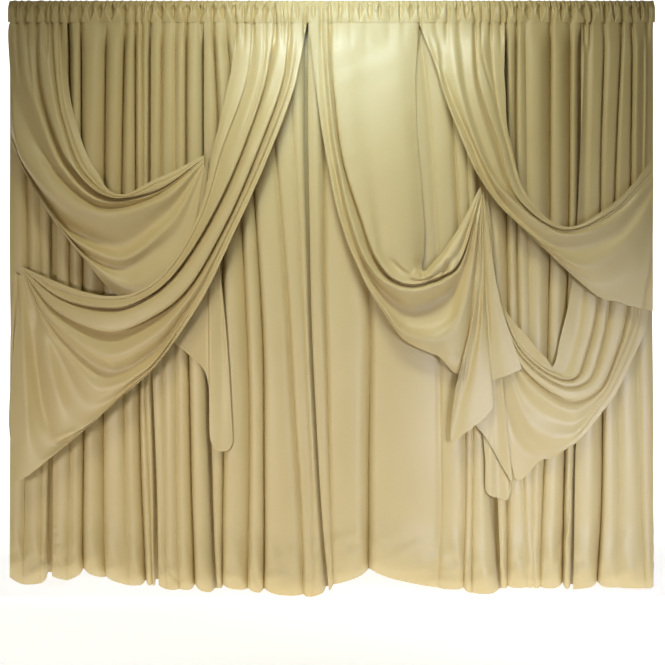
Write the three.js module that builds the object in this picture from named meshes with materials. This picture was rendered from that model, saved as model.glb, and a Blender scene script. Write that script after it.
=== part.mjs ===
// A swagged backdrop drape: a shirred rod-pocket heading, seven straight panels that hang to the
// floor, and five swag panels in front of them, each swept aside and pinned up by one corner.
// Millimetres, +Z up, the front faces -Y, +X to the right. The origin is the middle of the rod pocket.
import * as THREE from 'three';

// Driving sizes.
const CLOTH = 2.5; // thickness of a hanging sheet
const CLEAR = 0.3; // gap between pieces that touch
const POCKET_HEIGHT = 102; // heading, from the frill to the stitch line
const POCKET_WALL = 3; // gathered cloth around the rod
const GRID_STEP = 5.1; // one step of the front elevation that the tables are drawn on
const GRID_MIDDLE = 331.5; // elevation x of the middle of the drape
const GRID_EYE = 332.5; // elevation y of eye level
const EYE_LEVEL = -1624; // height of eye level below the rod
const SIGHT = 6000; // the elevation is drawn as seen from here, so what stands forward is drawn larger
const GRID_LEFT = 10; // elevation x of the left side
const GRID_RIGHT = 653; // elevation x of the right side
const STITCH_ROW = 22; // elevation y of the stitch line under the pocket
const STITCH_LEVEL = -POCKET_HEIGHT / 2;

const CREAM = { color: 0xcdbb8e, roughness: 0.62, metalness: 0 };

/** A point on the elevation at a depth: y is mm behind the rod, so the front is negative. */
function place(column, row, y) {
  const scale = GRID_STEP * (1 + y / SIGHT);
  return new THREE.Vector3((column - GRID_MIDDLE) * scale, y, EYE_LEVEL + (GRID_EYE - row) * scale);
}

/** A point on the top edge of a hanging piece, just under the stitch line. */
function placeUnderStitch(column, y) {
  const point = place(column, STITCH_ROW, y);
  point.z = STITCH_LEVEL - CLEAR;
  return point;
}

/** Rows of a table as objects with the named columns. */
function table(columns, rows) {
  return rows.map((row) => Object.fromEntries(columns.map((name, index) => [name, row[index]])));
}

function mix(from, to, share) {
  return from + (to - from) * share;
}

/** A geometry from a list of points and a list of triangles, turned so that its faces point out. */
function closedGeometry(points, triangles) {
  let volume = 0;
  for (const [a, b, c] of triangles) {
    volume += points[a].dot(new THREE.Vector3().crossVectors(points[b], points[c]));
  }
  const outward = volume > 0 ? triangles : triangles.map(([a, b, c]) => [a, c, b]);
  const geometry = new THREE.BufferGeometry();
  const positions = points.flatMap((point) => point.toArray());
  geometry.setAttribute('position', new THREE.Float32BufferAttribute(positions, 3));
  geometry.setIndex(outward.flat());
  return geometry;
}

/** A sheet of cloth over grids of front points, grid[column][row], that may share points along a line. */
function sheetGeometry(grids) {
  const front = [...new Set(grids.flat(2))];
  const numberOf = new Map(front.map((point, index) => [point, index]));
  const faces = [];
  for (const grid of grids) {
    for (let column = 0; column < grid.length - 1; column += 1) {
      for (let row = 0; row < grid[column].length - 1; row += 1) {
        const near = grid[column].slice(row, row + 2);
        const next = grid[column + 1].slice(row, row + 2);
        const [a, b, c, d] = [...near, ...next].map((point) => numberOf.get(point));
        faces.push([a, b, c], [c, b, d]);
      }
    }
  }
  const back = front.map((point) => new THREE.Vector3(point.x, point.y + CLOTH, point.z));
  const behind = front.length;
  const triangles = [...faces, ...faces.map(([a, b, c]) => [behind + a, behind + c, behind + b])];
  for (const [from, to] of borderEdges(faces)) {
    triangles.push([to, from, behind + from], [to, behind + from, behind + to]);
  }
  return closedGeometry([...front, ...back], triangles);
}

/** The edges that belong to one face only, as that face runs along them. */
function borderEdges(faces) {
  const edges = new Map();
  for (const [a, b, c] of faces) {
    for (const [from, to] of [[a, b], [b, c], [c, a]]) {
      const key = `${Math.min(from, to)} ${Math.max(from, to)}`;
      if (!edges.delete(key)) {
        edges.set(key, [from, to]);
      }
    }
  }
  return edges.values();
}

function clothMesh(name, geometry) {
  const mesh = new THREE.Mesh(geometry, new THREE.MeshStandardMaterial(CREAM));
  mesh.name = name;
  return mesh;
}

// Straight panels. Each row is one tube of cloth: the elevation x of the gap on its left at the stitch
// line and at the hem, the elevation y of its hem, how far its crown stands forward and how deep the gap
// goes back, at the top and at the hem. The last row of a panel is its right edge.
const TUBE_COLUMNS = ['top', 'hem', 'floor', 'standTop', 'standHem', 'deepTop', 'deepHem'];
const BACK_PANELS = [
  [
    [10, 10, 582, 6, 40, 10, 10],
    [24, 24, 585, 6, 35, 14, 12],
    [40, 40, 583, 6, 40, 14, 14],
    [56, 54, 577, 6, 40, 20, 22],
  ],
  [
    [58, 55, 578, 6, 40, 4, 4],
    [70, 70, 580, 28, 38, 18, 12],
    [81, 86, 574, 30, 38, 20, 18],
    [94, 95, 575, 8, 36, 14, 8],
    [108, 106, 581, 30, 40, 12, 10],
    [126, 128, 585, 30, 38, 20, 10],
    [135, 142, 584, 28, 30, 20, 18],
    [149, 156, 583, 24, 30, 20, 22],
  ],
  [
    [151, 158, 587, 30, 38, 4, 4],
    [163, 172, 590, 28, 40, 14, 8],
    [177, 183, 590, 28, 38, 12, 10],
    [187, 198, 595, 30, 52, 20, 22],
    [202, 215, 593, 30, 40, 20, 22],
  ],
  [
    [204, 217, 586, 26, 34, 4, 4],
    [213, 222, 585, 28, 40, 18, 18],
    [226, 247, 590, 20, 38, 12, 12],
    [238, 263, 593, 6, 46, 10, 18],
    [262, 290, 595, 6, 44, 12, 12],
    [285, 306, 595, 6, 42, 12, 8],
    [306, 326, 592, 6, 40, 20, 22],
  ],
  [
    [308, 328, 584, 6, 34, 4, 4],
    [325, 346, 574, 6, 24, 10, 6],
    [362, 372, 587, 6, 46, 12, 18],
    [420, 438, 589, 16, 42, 10, 12],
    [447, 465, 590, 18, 38, 12, 12],
    [462, 474, 597, 16, 46, 14, 18],
    [477, 498, 592, 8, 40, 20, 22],
  ],
  [
    [479, 500, 586, 6, 36, 4, 4],
    [506, 512, 587, 26, 40, 16, 10],
    [516, 527, 587, 24, 38, 18, 8],
    [527, 541, 588, 30, 40, 12, 14],
    [551, 556, 590, 28, 36, 20, 14],
    [575, 569, 590, 14, 36, 20, 22],
  ],
  [
    [577, 571, 591, 6, 42, 4, 4],
    [596, 600, 587, 6, 40, 12, 20],
    [612, 618, 588, 6, 38, 12, 10],
    [632, 640, 588, 6, 38, 12, 12],
    [653, 653, 588, 6, 38, 10, 10],
  ],
];
const TUBE_CELLS = 4; // facets across a tube
const TUBE_ROUND = 2.4; // the higher, the flatter the crown and the steeper the sides
const TUBE_SETTLE = 0.6; // under 1, a tube takes its shape at the hem early in the drop
const PANEL_LEVELS = [0, 0.1, 0.4, 0.75, 0.92, 0.965, 1]; // shares of the drop with a row of points
const HEM_BELLY_FROM = 0.9; // share of the drop where the spare length starts to bulge
const HEM_BELLY_AT = 0.965; // share of the drop where it stands furthest forward
const HEM_BELLY = 26; // how far it bulges
const HEM_TUCK = 24; // how far the hem turns back under it
const HEM_LIFT = 4; // elevation steps by which the hem rises in a gap
const LAP_WIDTH = 9; // elevation steps by which a panel runs on behind the next one
const LAP_DEPTH = 30; // how far back that lap lies

/** How far forward of its fold line the cloth is at a share of the drop, from the spare length at the hem. */
function hemBulge(share) {
  if (share <= HEM_BELLY_FROM) {
    return 0;
  }
  if (share <= HEM_BELLY_AT) {
    return HEM_BELLY * Math.sin((Math.PI / 2) * (share - HEM_BELLY_FROM) / (HEM_BELLY_AT - HEM_BELLY_FROM));
  }
  return mix(HEM_BELLY, -HEM_TUCK, (share - HEM_BELLY_AT) / (1 - HEM_BELLY_AT));
}

/** One point of a straight panel: across runs from 0 to 1 over the tube between two rows of the table. */
function tubePoint(left, right, across, share) {
  const settle = Math.pow(share, TUBE_SETTLE);
  const side = Math.pow(Math.abs(2 * across - 1), TUBE_ROUND);
  const gapRow = across < 0.5 ? left : right;
  const crown = -mix(left.standTop, left.standHem, settle);
  const gap = mix(gapRow.deepTop, gapRow.deepHem, settle);
  const y = mix(crown - hemBulge(share), gap, side);
  const column = mix(mix(left.top, right.top, across), mix(left.hem, right.hem, across), share);
  const floor = left.floor - HEM_LIFT * side;
  return share === 0 ? placeUnderStitch(column, y) : place(column, mix(STITCH_ROW, floor, share), y);
}

/** The edge that runs on behind the next panel. */
function lapPoint(edge, share) {
  const column = mix(edge.top, edge.hem, share) + LAP_WIDTH;
  return share === 0
    ? placeUnderStitch(column, LAP_DEPTH)
    : place(column, mix(STITCH_ROW, edge.floor - HEM_LIFT, share), LAP_DEPTH);
}

function backPanel(rows, isLast) {
  const tubes = table(TUBE_COLUMNS, rows);
  const lines = [];
  for (let index = 0; index < tubes.length - 1; index += 1) {
    for (let cell = 0; cell < TUBE_CELLS; cell += 1) {
      const across = cell / TUBE_CELLS;
      lines.push(PANEL_LEVELS.map((share) => tubePoint(tubes[index], tubes[index + 1], across, share)));
    }
  }
  const [last, edge] = tubes.slice(-2);
  lines.push(PANEL_LEVELS.map((share) => tubePoint(last, edge, 1, share)));
  if (!isLast) {
    lines.push(PANEL_LEVELS.map((share) => lapPoint(edge, share)));
  }
  return sheetGeometry([lines]);
}

// Swag panels. Each row is one fold, from the panel's upper edge to its lower edge: the elevation places
// that its crest passes, how far the crest stands forward, and how deep the trough after it is. A swag's
// depths are those of its cloth at each station. Its tail hangs on from the last fold, past the pin.
const SWAG_COLUMNS = ['head', 'hang', 'sweep', 'belly', 'rise', 'end', 'crest', 'gap'];
const SWAG_STATIONS = 6;
const SWAG_SWELL = [0.5, 0.7, 1, 1, 0.6, 0.12]; // share of crest and gap at each station
const TAIL_COLUMNS = ['root', 'middle', 'hem', 'crest', 'gap'];
const TAIL_STATIONS = 3;
const TAIL_SWELL = [0.1, 0.7, 1];
const STEPS_PER_STATION = 5;

const SWAGS = [
  {
    depths: [28, 52, 78, 92, 78, 50],
    folds: [
      [[64, 22], [64, 85], [84, 148], [117, 193], [160, 178], [204, 153], 0, 6],
      [[57, 22], [57, 85], [75, 148], [114, 196], [160, 181], [203, 156], 10, 16],
      [[43, 22], [47, 85], [65, 143], [108, 200], [158, 187], [202, 160], 22, 26],
      [[22, 22], [26, 85], [48, 152], [101, 206], [156, 194], [202, 164], 18, 22],
      [[10, 95], [18, 132], [45, 182], [105, 215], [160, 203], [202, 170], 24, 30],
      [[10, 120], [25, 157], [60, 217], [112, 256], [165, 228], [203, 180], 20, 24],
      [[10, 133], [28, 170], [72, 238], [128, 283], [174, 264], [204, 192], 18, 20],
      [[10, 145], [32, 185], [83, 257], [130, 303], [174, 343], [207, 206], 0, 8],
    ],
    tailDepths: [50, 56, 56],
    tail: [
      [[208, 206], [199, 280], [190, 357], 12, 12],
      [[209, 205], [206, 290], [208, 377], 10, 12],
      [[210, 204], [213, 310], [213, 445], 6, 4],
      [[211, 203], [220, 310], [222, 451], 14, 6],
      [[212, 202], [225, 310], [233, 445], 4, 0],
    ],
  },
  {
    depths: [28, 95, 150, 160, 105, 52],
    folds: [
      [[238, 22], [222, 110], [184, 236], [112, 295], [60, 284], [23, 265], 0, 6],
      [[246, 22], [232, 110], [192, 243], [114, 302], [60, 290], [24, 267], 14, 26],
      [[258, 22], [247, 110], [197, 254], [110, 316], [58, 302], [25, 270], 18, 24],
      [[276, 22], [262, 110], [203, 262], [112, 350], [52, 327], [26, 274], 22, 30],
      [[291, 22], [276, 110], [203, 274], [108, 385], [45, 352], [25, 279], 20, 24],
      [[300, 22], [283, 110], [199, 287], [93, 409], [36, 400], [21, 283], 14, 14],
      [[307, 22], [288, 106], [190, 312], [85, 429], [30, 471], [16, 286], 0, 4],
    ],
    tailDepths: [52, 84, 88],
    tail: [
      [[13, 284], [11, 360], [10, 456], 10, 0],
    ],
  },
  {
    depths: [28, 46, 72, 100, 82, 54],
    folds: [
      [[419, 22], [416, 100], [421, 200], [424, 264], [446, 245], [480, 187], 0, 4],
      [[402, 22], [400, 100], [405, 200], [417, 276], [452, 251], [480, 189], 8, 8],
      [[374, 22], [372, 100], [382, 200], [412, 283], [456, 258], [481, 191], 12, 24],
      [[342, 22], [344, 110], [361, 208], [409, 292], [456, 268], [481, 194], 22, 24],
      [[330, 22], [334, 110], [352, 224], [407, 316], [456, 284], [482, 198], 12, 20],
      [[319, 22], [326, 110], [346, 230], [414, 341], [462, 304], [483, 205], 22, 22],
      [[309, 22], [319, 108], [343, 230], [410, 347], [461, 371], [485, 222], 0, 8],
    ],
    tailDepths: [54, 84, 104],
    tail: [
      [[486, 220], [481, 345], [452, 440], 0, 10],
      [[486.5, 219], [486.5, 335], [466, 430], 14, 10],
      [[487, 218], [490, 326], [477, 418], 18, 16],
      [[488, 217], [493, 315], [492, 409], 6, 10],
      [[489, 216], [496, 304], [495, 383], 22, 12],
      [[490, 215], [500, 300], [509, 377], 16, 10],
      [[491, 214], [507, 305], [522, 370], 4, 0],
    ],
  },
  {
    depths: [28, 84, 112, 128, 118, 108],
    folds: [
      [[507, 22], [505, 90], [521, 178], [566, 226], [612, 204], [653, 157], 0, 6],
      [[500, 22], [500, 90], [515, 178], [566, 229], [612, 208], [653, 162], 12, 14],
      [[486, 22], [489, 90], [508, 178], [564, 232], [612, 214], [653, 168], 18, 18],
      [[466, 22], [470, 90], [500, 182], [562, 238], [612, 224], [653, 178], 18, 30],
      [[444, 22], [450, 88], [494, 188], [574, 262], [624, 243], [653, 202], 24, 26],
      [[434, 22], [442, 85], [491, 189], [590, 275], [630, 264], [653, 240], 10, 12],
      [[426, 22], [436, 83], [483, 186], [588, 289], [620, 302], [653, 308], 0, 0],
    ],
    tailDepths: [],
    tail: [],
  },
  {
    depths: [28, 32, 52, 84, 60, 36],
    folds: [
      [[585, 22], [583, 130], [573, 285], [556, 369], [528, 336], [487, 190], 0, 6],
      [[594, 22], [592, 130], [585, 292], [561, 379], [524, 339], [487, 192], 10, 16],
      [[606, 22], [603, 130], [598, 296], [563, 385], [520, 343], [487, 195], 14, 18],
      [[619, 22], [616, 130], [612, 298], [565, 392], [518, 350], [488, 198], 16, 22],
      [[631, 22], [629, 130], [628, 300], [567, 412], [514.5, 366], [488, 203], 18, 24],
      [[642, 22], [641, 130], [641, 304], [562, 427], [511, 391], [487.5, 210], 16, 20],
      [[653, 22], [653, 150], [651, 316], [568, 440], [516, 470], [486, 222], 0, 6],
    ],
    tailDepths: [36, 44, 44],
    tail: [
      [[485.5, 223], [487, 372], [509, 498], 6, 8],
      [[485, 224], [483, 362], [488, 491], 8, 10],
      [[484.5, 225], [480, 350], [485, 442], 4, 8],
      [[484, 226], [477, 340], [476, 424], 8, 8],
      [[483, 227], [473, 330], [466, 408], 0, 0],
    ],
  },
];

/** The line of a fold's crest through the places that it passes, as evenly stepped points. */
function crestLine(fold, depths, swell, steps) {
  const points = depths.map((depth, station) => {
    const [column, row] = fold.path[station];
    const y = -depth - fold.crest * swell[station];
    return row === STITCH_ROW ? placeUnderStitch(column, y) : place(column, row, y);
  });
  return new THREE.CatmullRomCurve3(points, false, 'centripetal').getPoints(steps);
}

/** The share of a fold's full depth at a share of its length, from the values at its stations. */
function swellAt(swell, share) {
  const position = share * (swell.length - 1);
  const station = Math.min(Math.floor(position), swell.length - 2);
  return mix(swell[station], swell[station + 1], position - station);
}

/** The line of the trough between two crests. */
function troughLine(upper, lower, gap, swell) {
  return upper.map((point, row) => {
    const middle = point.clone().lerp(lower[row], 0.5);
    middle.y += gap * swellAt(swell, row / (upper.length - 1));
    return middle;
  });
}

/** The lines of a sheet, crest by crest with the troughs between. */
function foldedGrid(crests, gaps, swell) {
  const grid = [];
  crests.forEach((crest, index) => {
    grid.push(crest);
    if (index < crests.length - 1) {
      grid.push(troughLine(crest, crests[index + 1], gaps[index], swell));
    }
  });
  return grid;
}

/** Rows of a fold table with the stations gathered into one path. */
function foldRows(columns, stations, rows) {
  return table(columns, rows).map((row) => ({
    path: columns.slice(0, stations).map((name) => row[name]),
    crest: row.crest,
    gap: row.gap,
  }));
}

function swagPanel(swag) {
  const folds = foldRows(SWAG_COLUMNS, SWAG_STATIONS, swag.folds);
  const steps = STEPS_PER_STATION * (SWAG_STATIONS - 1);
  const crests = folds.map((fold) => crestLine(fold, swag.depths, SWAG_SWELL, steps));
  const grids = [foldedGrid(crests, folds.map((fold) => fold.gap), SWAG_SWELL)];
  if (swag.tail.length > 0) {
    const tailFolds = foldRows(TAIL_COLUMNS, TAIL_STATIONS, swag.tail);
    const upward = [...TAIL_SWELL].reverse();
    const hung = tailFolds.map((fold) => crestLine(fold, swag.tailDepths, TAIL_SWELL, STEPS_PER_STATION));
    hung.forEach((line) => line.reverse());
    const shared = crests.at(-1).slice(-(STEPS_PER_STATION + 1));
    const gaps = [folds.at(-1).gap, ...tailFolds.map((fold) => fold.gap)];
    grids.push(foldedGrid([shared, ...hung], gaps, upward));
  }
  return sheetGeometry(grids);
}

// Heading: a pocket of cloth gathered on the rod, puffed out between its pleats.
const PUFF_COUNT = 36;
const PUFF_UNEVEN = 0.34; // how much wider or narrower than the mean a puff may be
const PUFF_RATE = 2.4; // radians from one puff to the next in the uneven run of widths
const POCKET_RING = [
  // depth and height of the pocket's outside where it is pinched, and how far a puff moves each point
  { y: -10, z: 46, puffY: -4, puffZ: 5 },
  { y: -28, z: 30, puffY: -8, puffZ: 2 },
  { y: -32, z: 2, puffY: -13, puffZ: 0 },
  { y: -40, z: -30, puffY: -8, puffZ: 0 },
  { y: -46, z: STITCH_LEVEL, puffY: -2, puffZ: 0 },
  { y: 35, z: STITCH_LEVEL, puffY: 1, puffZ: 0 },
  { y: 34, z: 0, puffY: 6, puffZ: 0 },
  { y: 28, z: 32, puffY: 5, puffZ: 2 },
  { y: 6, z: 46, puffY: 2, puffZ: 5 },
];

/** The heading's cross-sections, as a share of its width and how far the cloth is puffed there. */
function headingSections() {
  const widths = Array.from({ length: PUFF_COUNT }, (_, k) => 1 + PUFF_UNEVEN * Math.sin(PUFF_RATE * k));
  const total = widths.reduce((sum, width) => sum + width, 0);
  const sections = [];
  let run = 0;
  for (const width of widths) {
    sections.push({ share: run / total, puff: 0 });
    sections.push({ share: (run + width / 2) / total, puff: Math.min(1, width) });
    run += width;
  }
  sections.push({ share: 1, puff: 0 });
  return sections;
}

function heading() {
  const left = place(GRID_LEFT, STITCH_ROW, 0).x;
  const right = place(GRID_RIGHT, STITCH_ROW, 0).x;
  const sections = headingSections();
  const points = [];
  for (const { share, puff } of sections) {
    const x = mix(left, right, share);
    const outer = POCKET_RING.map((p) => new THREE.Vector3(x, p.y + p.puffY * puff, p.z + p.puffZ * puff));
    const inner = outer.map((p) => (
      new THREE.Vector3(x, p.y - Math.sign(p.y) * POCKET_WALL, p.z - Math.sign(p.z) * POCKET_WALL)));
    points.push(...outer, ...inner);
  }
  const ring = POCKET_RING.length;
  const at = (section, layer, k) => section * ring * 2 + layer * ring + (k % ring);
  const triangles = [];
  const quad = (a, b, c, d) => triangles.push([a, b, c], [c, b, d]);
  const end = sections.length - 1;
  for (let k = 0; k < ring; k += 1) {
    for (let section = 0; section < end; section += 1) {
      const next = section + 1;
      quad(at(section, 0, k), at(next, 0, k), at(section, 0, k + 1), at(next, 0, k + 1));
      quad(at(section, 1, k), at(section, 1, k + 1), at(next, 1, k), at(next, 1, k + 1));
    }
    quad(at(0, 0, k), at(0, 0, k + 1), at(0, 1, k), at(0, 1, k + 1));
    quad(at(end, 1, k), at(end, 1, k + 1), at(end, 0, k), at(end, 0, k + 1));
  }
  return clothMesh('heading', closedGeometry(points, triangles));
}

const drape = new THREE.Group();
drape.add(heading());
BACK_PANELS.forEach((rows, index) => {
  const isLast = index === BACK_PANELS.length - 1;
  drape.add(clothMesh(`back_panel_${index + 1}`, backPanel(rows, isLast)));
});
SWAGS.forEach((swag, index) => drape.add(clothMesh(`swag_panel_${index + 1}`, swagPanel(swag))));

export default drape;
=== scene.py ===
"""Dresses the swagged backdrop drape: straight panels, pinned swags and a shirred rod pocket in satin."""
import logging
import math
from collections.abc import Mapping
from dataclasses import dataclass
from enum import Enum
from typing import Any, ClassVar

import bmesh
import bpy
import numpy as np
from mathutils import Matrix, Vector


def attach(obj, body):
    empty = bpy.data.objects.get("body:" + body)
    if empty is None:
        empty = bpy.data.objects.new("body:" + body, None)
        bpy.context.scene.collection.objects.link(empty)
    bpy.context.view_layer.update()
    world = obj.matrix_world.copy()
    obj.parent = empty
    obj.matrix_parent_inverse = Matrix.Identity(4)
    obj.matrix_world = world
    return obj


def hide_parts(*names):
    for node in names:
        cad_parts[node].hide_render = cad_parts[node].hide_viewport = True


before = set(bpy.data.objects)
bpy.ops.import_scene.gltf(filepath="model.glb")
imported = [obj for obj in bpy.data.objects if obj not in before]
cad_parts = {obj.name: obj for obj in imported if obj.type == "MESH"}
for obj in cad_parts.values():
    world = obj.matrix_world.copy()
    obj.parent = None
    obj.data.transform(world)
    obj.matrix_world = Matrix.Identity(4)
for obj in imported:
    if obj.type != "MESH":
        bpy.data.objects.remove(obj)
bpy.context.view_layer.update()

LOG = logging.getLogger("drape")
MM = 0.001
FULL_TURN = 2 * math.pi
Pair = tuple[float, float]
Triple = tuple[float, float, float]
Hems = tuple[bool, bool, bool, bool]

# Row and height in metres of the stitching under the rod pocket.
STITCH_ROW = 22.0
STITCH_LEVEL = -51.4 * MM

# Millimetres forward of a tube whose top a swag's head hides, and rows that it runs up behind the heading.
BEHIND_SWAG = 6.0
HIDDEN_RISE = 6.0

# Least run of a curve between two stops, and metres within which two grids of cloth are sewn together.
LEAST_SPAN = 1e-3
SEWN = 1e-5

# Two pairs of waves that make cloth uneven, with turns across, down and for the seed, and a pair's height.
UNEVEN_WAVES = (((5.1, 1.3, 2.1), (-1.9, 3.7, 1.0)), ((2.3, -4.3, 3.3), (4.9, 2.9, 1.7)))
UNEVEN_HEIGHT = 0.6


@dataclass(frozen=True)
class Elevation:
    """The front elevation on which all the tables are drawn, seen from eye level in front of the drape.

    Attributes:
        step: Millimetres in one step of the drawing, at the rod.
        columns: Columns, and rows, across the whole drawing.
        middle: Column of the drape's middle.
        eye_level: Height of the eye, in millimetres.
        sight: Distance from the eye to the rod, in millimetres.
    """

    step: float = 5.1
    columns: float = 665.0
    middle: float = 331.5
    eye_level: float = -1624.0
    sight: float = 6000.0

    def place(self, drawn: np.ndarray) -> np.ndarray:
        """Turns drawn places into metres.

        Args:
            drawn: Column, row and millimetres forward of the rod, on the last axis.

        Returns:
            The places in the drape's frame.
        """
        columns, rows, forward = drawn[..., 0], drawn[..., 1], drawn[..., 2]
        scale = self.step * (1 - forward / self.sight)
        height = self.eye_level + (self.columns / 2 - rows) * scale
        return MM * np.stack([(columns - self.middle) * scale, -forward, height], axis=-1)


ELEVATION = Elevation()


def spans_between(stops: np.ndarray) -> np.ndarray:
    """Gives the run of a curve between stops, the shorter gaps counting for more."""
    gaps = np.linalg.norm(np.diff(stops, axis=0), axis=-1, keepdims=True)
    return np.maximum(gaps**0.5, LEAST_SPAN)


def bend(stops: np.ndarray, spans: np.ndarray, tangents: np.ndarray, per_gap: int) -> np.ndarray:
    """Samples a curve through stops with given tangents.

    Args:
        stops: Places to pass through, in order on the first axis, with coordinates on the last.
        spans: Run of the curve in each gap.
        tangents: Direction of the curve at each stop.
        per_gap: Samples in each gap between two stops.

    Returns:
        The samples, in order on the first axis.
    """
    share = (np.arange(per_gap) / per_gap).reshape((1, per_gap) + (1,) * (stops.ndim - 1))
    begin, end = stops[:-1, None], stops[1:, None]
    leave, arrive = (spans * tangents[:-1])[:, None], (spans * tangents[1:])[:, None]
    curve = begin + share * leave
    curve = curve + share**2 * (3 * (end - begin) - 2 * leave - arrive)
    curve = curve + share**3 * (2 * (begin - end) + leave + arrive)
    return np.concatenate([curve.reshape((-1,) + stops.shape[1:]), stops[-1:]])


def smooth_path(stops: np.ndarray, per_gap: int) -> np.ndarray:
    """Runs a smooth curve through stops, with the same number of samples in each gap.

    Args:
        stops: Places to pass through, in order on the first axis, with coordinates on the last.
        per_gap: Samples in each gap between two stops.

    Returns:
        The samples, in order on the first axis.
    """
    spans = spans_between(stops)
    slopes = np.diff(stops, axis=0) / spans
    inner = slopes[:-1] + slopes[1:] - (stops[2:] - stops[:-2]) / (spans[:-1] + spans[1:])
    return bend(stops, spans, np.concatenate([slopes[:1], inner, slopes[-1:]]), per_gap)


def steady_path(stops: np.ndarray, spans: np.ndarray, per_gap: int) -> np.ndarray:
    """Runs a curve through stops that never swings past them, for the room between two lines.

    Args:
        stops: Values to pass through, in order on the first axis.
        spans: Run of the curve in each gap.
        per_gap: Samples in each gap between two stops.

    Returns:
        The samples, in order on the first axis.
    """
    slopes = np.diff(stops, axis=0) / spans
    before, after = slopes[:-1], slopes[1:]
    early, late = 2 * spans[1:] + spans[:-1], spans[1:] + 2 * spans[:-1]
    turning = before * after <= 0
    safe_before, safe_after = np.where(turning, 1.0, before), np.where(turning, 1.0, after)
    inner = np.where(turning, 0.0, (early + late) / (early / safe_before + late / safe_after))
    return bend(stops, spans, np.concatenate([slopes[:1], inner, slopes[-1:]]), per_gap)


def ease(share: np.ndarray | float) -> np.ndarray:
    """Eases a share in and out between 0 and 1."""
    held = np.clip(share, 0, 1)
    return held * held * (3 - 2 * held)


def between(ends: Pair, share: np.ndarray) -> np.ndarray:
    """Gives the values at shares of the way between two ends."""
    return ends[0] + (ends[1] - ends[0]) * share


def uneven(columns: np.ndarray, rows: np.ndarray, size: float, seed: float) -> np.ndarray:
    """Gives a slow, irregular swell over the drawing, between about -1 and 1.

    Args:
        columns: Columns of the places.
        rows: Rows of the places.
        size: Length of one swell, in steps.
        seed: Any number, to tell one cloth from another.

    Returns:
        The swell at each place.
    """
    across, down = columns / size, rows / size
    swell = np.zeros_like(across)
    for waves in UNEVEN_WAVES:
        first, second = (wave[0] * across + wave[1] * down + wave[2] * seed for wave in waves)
        swell = swell + UNEVEN_HEIGHT * np.sin(first) * np.cos(second)
    return swell


def nearest(
    stops: tuple[Pair, ...], per_gap: int, columns: np.ndarray, rows: np.ndarray
) -> tuple[np.ndarray, np.ndarray, float]:
    """Finds how far places lie from a drawn line, and where along it.

    Args:
        stops: Columns and rows that the line passes.
        per_gap: Samples of the line between two of them.
        columns: Columns of the places.
        rows: Rows of the places.

    Returns:
        The distance from the line, the share of its length, and its length.
    """
    path = smooth_path(np.array(stops, dtype=float), per_gap)
    aside, share = np.full(columns.shape, np.inf), np.zeros(columns.shape)
    runs = np.concatenate([[0], np.cumsum(np.linalg.norm(np.diff(path, axis=0), axis=1))])
    for begin, end, run in zip(path[:-1], path[1:], runs[:-1]):
        length = max(float(np.hypot(*(end - begin))), LEAST_SPAN)
        leg = (end - begin) / length
        off_column, off_row = columns - begin[0], rows - begin[1]
        along = np.clip(off_column * leg[0] + off_row * leg[1], 0, length)
        off = np.hypot(off_column - along * leg[0], off_row - along * leg[1])
        closer = off < aside
        aside = np.where(closer, off, aside)
        share = np.where(closer, (run + along) / runs[-1], share)
    return aside, share, runs[-1]


@dataclass(frozen=True)
class Crease:
    """A soft trough or ridge pressed into a sheet along a drawn line.

    Attributes:
        depth: Millimetres forward at the line; a trough is negative.
        width: Half the crease's width, in steps.
        places: Columns and rows that the line passes.
        fades: Shares of the length over which the crease fades at its start and its end.
        samples: Samples between two of the places.
    """

    depth: float
    width: float
    places: tuple[Pair, ...]
    fades: Pair = (0.25, 0.25)
    samples: int = 8

    def relief(self, columns: np.ndarray, rows: np.ndarray) -> np.ndarray:
        """Gives the crease's relief over a sheet.

        Args:
            columns: Columns of the sheet's places.
            rows: Rows of the sheet's places.

        Returns:
            Millimetres forward at each place.
        """
        aside, share, _ = nearest(self.places, self.samples, columns, rows)
        relief = self.depth * np.exp(-((aside / self.width) ** 2))
        for fade, run in zip(self.fades, (share, 1 - share)):
            if fade > 0:
                relief = relief * ease(run / fade)
        return relief


@dataclass(frozen=True)
class Puckers:
    """Small gathers along a seam, a hem or a pinned corner.

    Attributes:
        depth: Millimetres that each gather stands out and in.
        width: How far the gathers run out from the seam, in steps.
        pitch: Length of one gather along the seam, in steps.
        places: Columns and rows that the seam passes.
        stray: How far the gathers stray from an even pitch, and how fast.
        vary: How much their depth varies, and how fast.
        fade: Share of the seam over which they fade at each end.
        samples: Samples between two of the places.
    """

    depth: float
    width: float
    pitch: float
    places: tuple[Pair, ...]
    stray: Pair = (1.1, 2.4)
    vary: Pair = (0.3, 1.7)
    fade: float = 0.1
    samples: int = 10

    def relief(self, columns: np.ndarray, rows: np.ndarray) -> np.ndarray:
        """Gives the gathers' relief over a sheet.

        Args:
            columns: Columns of the sheet's places.
            rows: Rows of the sheet's places.

        Returns:
            Millimetres forward at each place.
        """
        aside, share, length = nearest(self.places, self.samples, columns, rows)
        turns = share * length / self.pitch
        wave = np.sin(FULL_TURN * turns + self.stray[0] * np.sin(self.stray[1] * turns))
        varied = 1 - self.vary[0] + self.vary[0] * np.sin(self.vary[1] * turns)
        ends = ease(share / self.fade) * ease((1 - share) / self.fade)
        return self.depth * ends * wave * varied * np.exp(-((aside / self.width) ** 2))


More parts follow.
